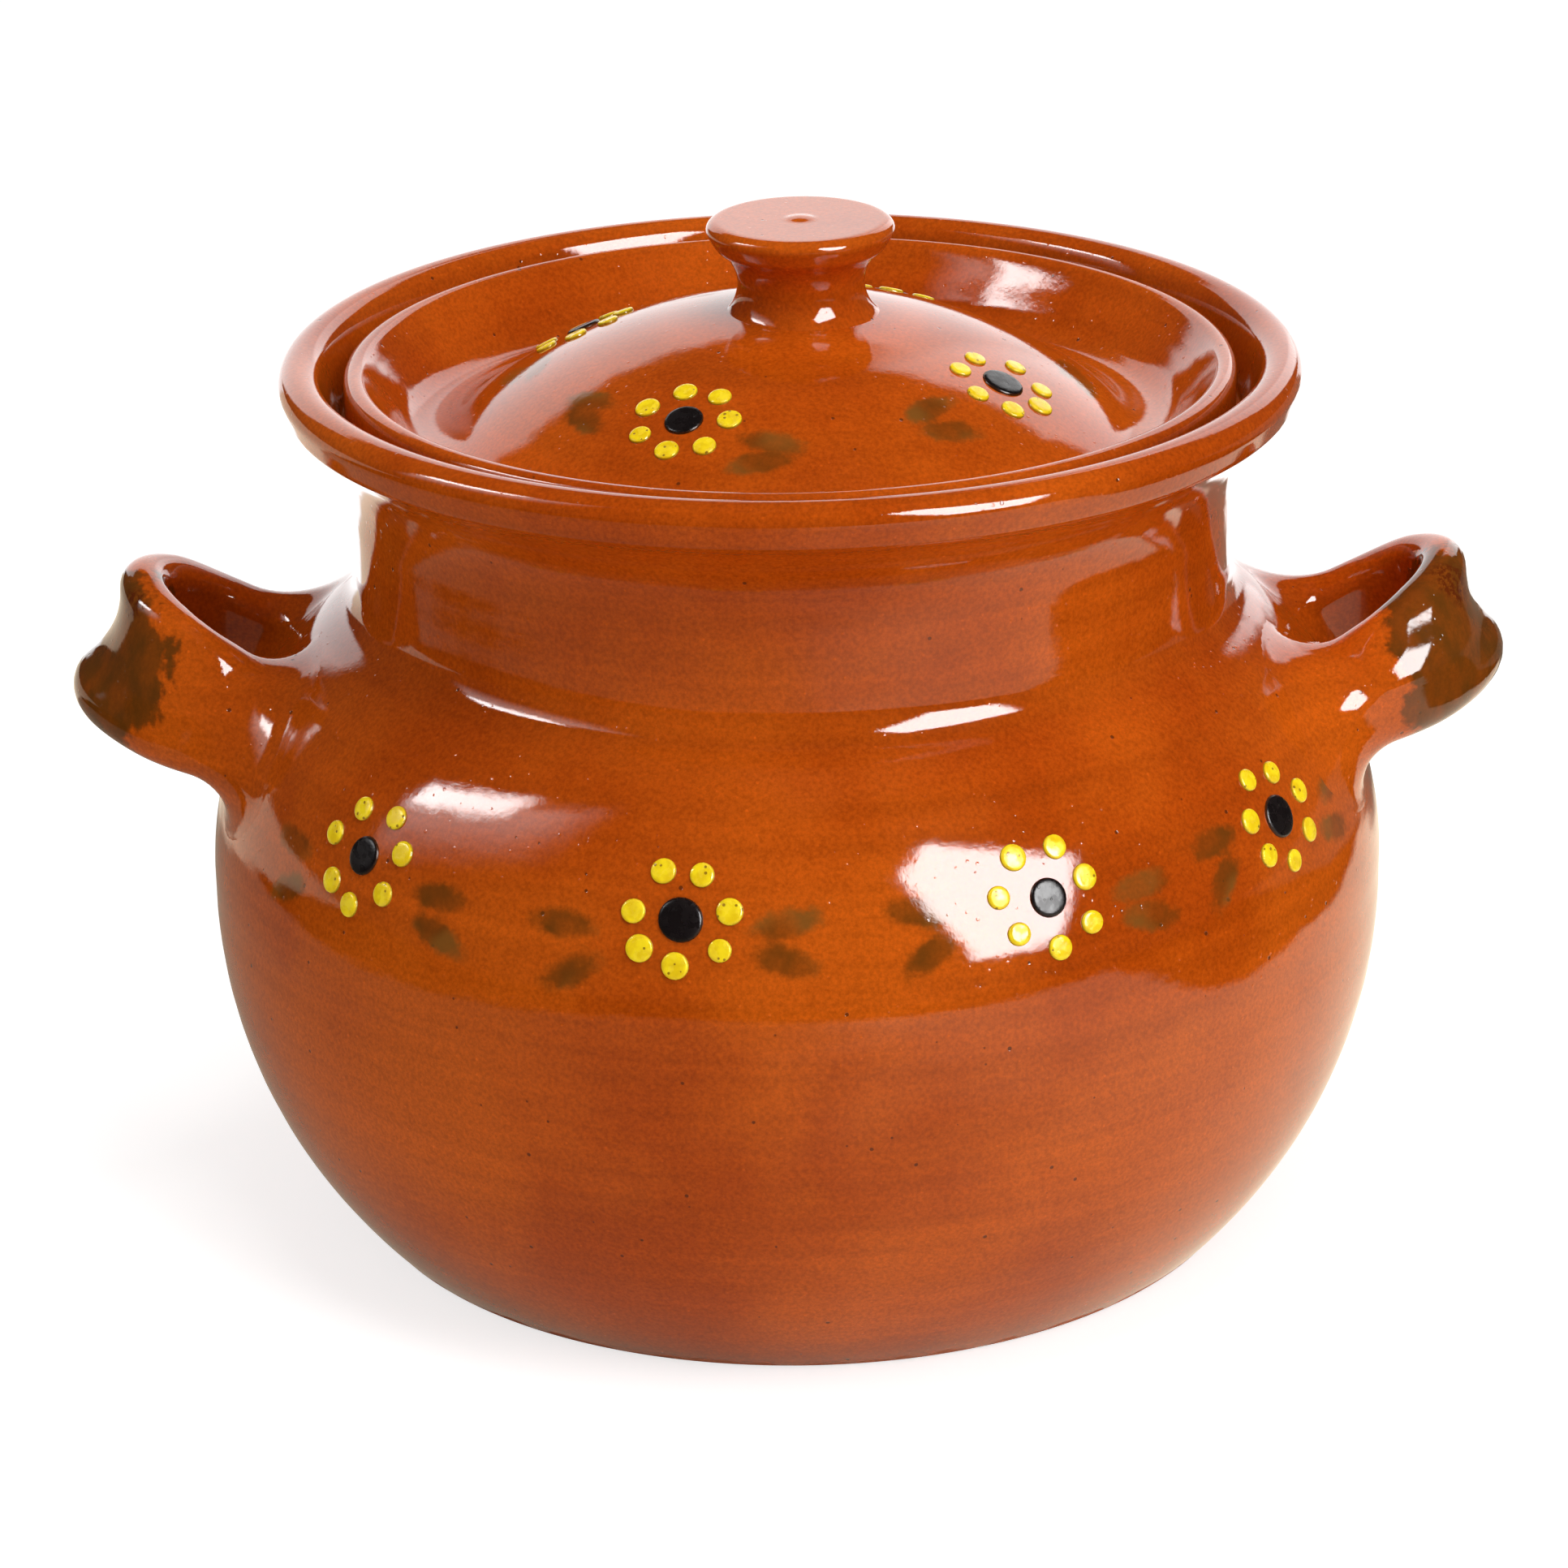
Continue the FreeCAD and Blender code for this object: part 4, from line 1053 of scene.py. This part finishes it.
# turn, lift, width, height and power of each lamp
lamps = {
    "keyLamp": (138, 42, 0.55, 0.75, 8.2), "sideLamp": (-104, 40, 0.6, 0.4, 1.3),
    "topLamp": (145, 80, 0.8, 0.8, 9.5), "bounceLamp": (135, 3, 1.4, 0.12, 2.6),
}


def makeFloor():
    half = studio["floorHalf"]
    corners = [(-half, -half, 0), (half, -half, 0), (half, half, 0), (-half, half, 0)]
    mesh = newMesh("floor", corners, [], [(0, 1, 2, 3)])
    made, wires, shader, place = newMaterial("whiteTable")
    step, blend, times = wires.step, wires.blend, wires.times
    # for glossy rays the floor is black and glows instead: a painted reflection of a table
    # lit from the right that ends before the camera
    wavy = wires.fill(wires.node("ShaderNodeTexNoise"),
                      {"Vector": place, "Scale": 9.0, "Detail": 4.0}).outputs["Color"]
    shift = wires.sized(wires.vector("SUBTRACT", wavy, (0.5, 0.5, 0.5)),
                        studio["mirrorWaver"])
    spot = wires.split(wires.vector("ADD", place, shift))
    x, y = spot["X"], spot["Y"]
    at = tableEdges
    ahead = wires.most(wires.minus(at["slantFrom"], y), 0.0)
    near = times(step(x, *at["across"], studio["mirrorNear"], studio["mirrorRight"]),
                 step(y, *at["front"]), step(x, *at["left"]),
                 step(wires.minus(x, times(ahead, at["slant"])), *at["right"]))
    # past the pot it is bright on the left only
    past = step(y, *at["pastPot"])
    left = step(x, *at["pastLeft"], studio["mirrorLeft"], studio["mirrorPast"])
    near = wires.plus(times(near, wires.minus(1.0, past)), times(left, past))
    behind = wires.minus(y, times(wires.calc("ABSOLUTE", x), at["wedge"]))
    mirror = wires.most(near, step(behind, 0.0, 0.05, 0.0, studio["mirrorFar"]))
    path = wires.node("ShaderNodeLightPath").outputs
    glossy = path["Is Glossy Ray"]
    shade = blend(path["Is Camera Ray"], studio["floorColour"], studio["floorShown"])
    seen = wires.most(path["Is Camera Ray"], path["Is Transmission Ray"])
    wires.fill(shader, {
        "Base Color": blend(glossy, shade, colour(0, 0, 0)),
        "Roughness": studio["floorRoughness"], "Specular IOR Level": 0.0,
        "Emission Color": blend(times(glossy, step(behind, 0.05, 0.0)),
                                colour(1, 1, 1), studio["mirrorTint"]),
        "Emission Strength": wires.plus(times(seen, studio["floorGlow"]),
                                        times(glossy, mirror))})
    mesh.materials.append(made)
    return newObject("floor", mesh)


def makeWorld():
    world = bpy.data.worlds.new("studio")
    world.use_nodes = True
    world.node_tree.nodes.clear()
    wires = Wiring(world.node_tree)
    way = wires.node("ShaderNodeTexCoord").outputs["Generated"]
    parts = wires.split(way)
    perRadian = 57.2958
    turn = wires.times(wires.calc("ARCTAN2", parts["X"], parts["Y"]), perRadian)
    lift = wires.plus(wires.times(wires.calc("ARCSINE", parts["Z"]), perRadian),
                      wires.step(wires.noise(way, 30, 5, 0.7), 0.25, 0.75, -1.6, 1.6))
    lit = {}
    for name, (bright, soft, *edges) in panels.items():
        shares = []
        for a, b, c, *own in edges:
            value = wires.plus(wires.times(turn, a), wires.times(lift, b))
            wide = (own[0] if own else soft) * hypot(a, b)
            shares.append(wires.step(value, c - wide, c + wide))
        lit[name] = wires.times(*shares, bright)
    shiny = wires.plus(wires.most(lit["backdrop"], lit["right"], studio["dark"]),
                       lit["window"], wires.most(lit["side"], lit["haze"]))
    path = wires.node("ShaderNodeLightPath").outputs
    seen = wires.most(path["Is Camera Ray"], path["Is Glossy Ray"],
                      path["Is Transmission Ray"])
    shown = wires.blend(path["Is Camera Ray"], shiny, colour(1, 1, 1))
    fill = studio["fill"]
    light = wires.blend(seen, colour(fill, fill, fill), shown)
    wires.node("ShaderNodeOutputWorld", wires.node("ShaderNodeBackground", light))
    bpy.context.scene.world = world


def addLamp(name, turn, lift, wide, high, power):
    lamp = bpy.data.lights.new(name, "AREA")
    lamp.shape = "RECTANGLE"
    lamp.size = wide
    lamp.size_y = high
    lamp.energy = power
    holder = newObject(name, lamp)
    way = Vector(wayOut(radians(90 - turn), radians(lift)))
    holder.location = Vector((0, 0, studio["lampAim"])) + way * studio["lampFar"]
    holder.rotation_euler = way.to_track_quat("Z", "Y").to_euler()
    holder.visible_glossy = False      # the world shows their bright shapes
    holder.visible_camera = False


camera = {
    "lens": 127.75, "sensor": 36, "distance": 1.100, "elevation": 21.40, "roll": -0.92,
    "target": (-0.00239, 0.0, 0.0840),
}


def makeCamera():
    lens = bpy.data.cameras.new("camera")
    lens.lens = camera["lens"]
    lens.sensor_width = camera["sensor"]
    lens.clip_end = 50
    holder = newObject("camera", lens)
    # aimed at the target, tilted, rolled, and then drawn back
    holder.matrix_world = (
        Matrix.Translation(camera["target"])
        @ Matrix.Rotation(radians(90 - camera["elevation"]), 4, "X")
        @ Matrix.Rotation(radians(camera["roll"]), 4, "Z")
        @ Matrix.Translation((0, 0, camera["distance"])))
    bpy.context.scene.camera = holder


makeFloor()
makeWorld()
for name, values in lamps.items():
    addLamp(name, *values)
makeCamera()
bpy.context.scene.view_settings.view_transform = "Standard"
print("studio set")
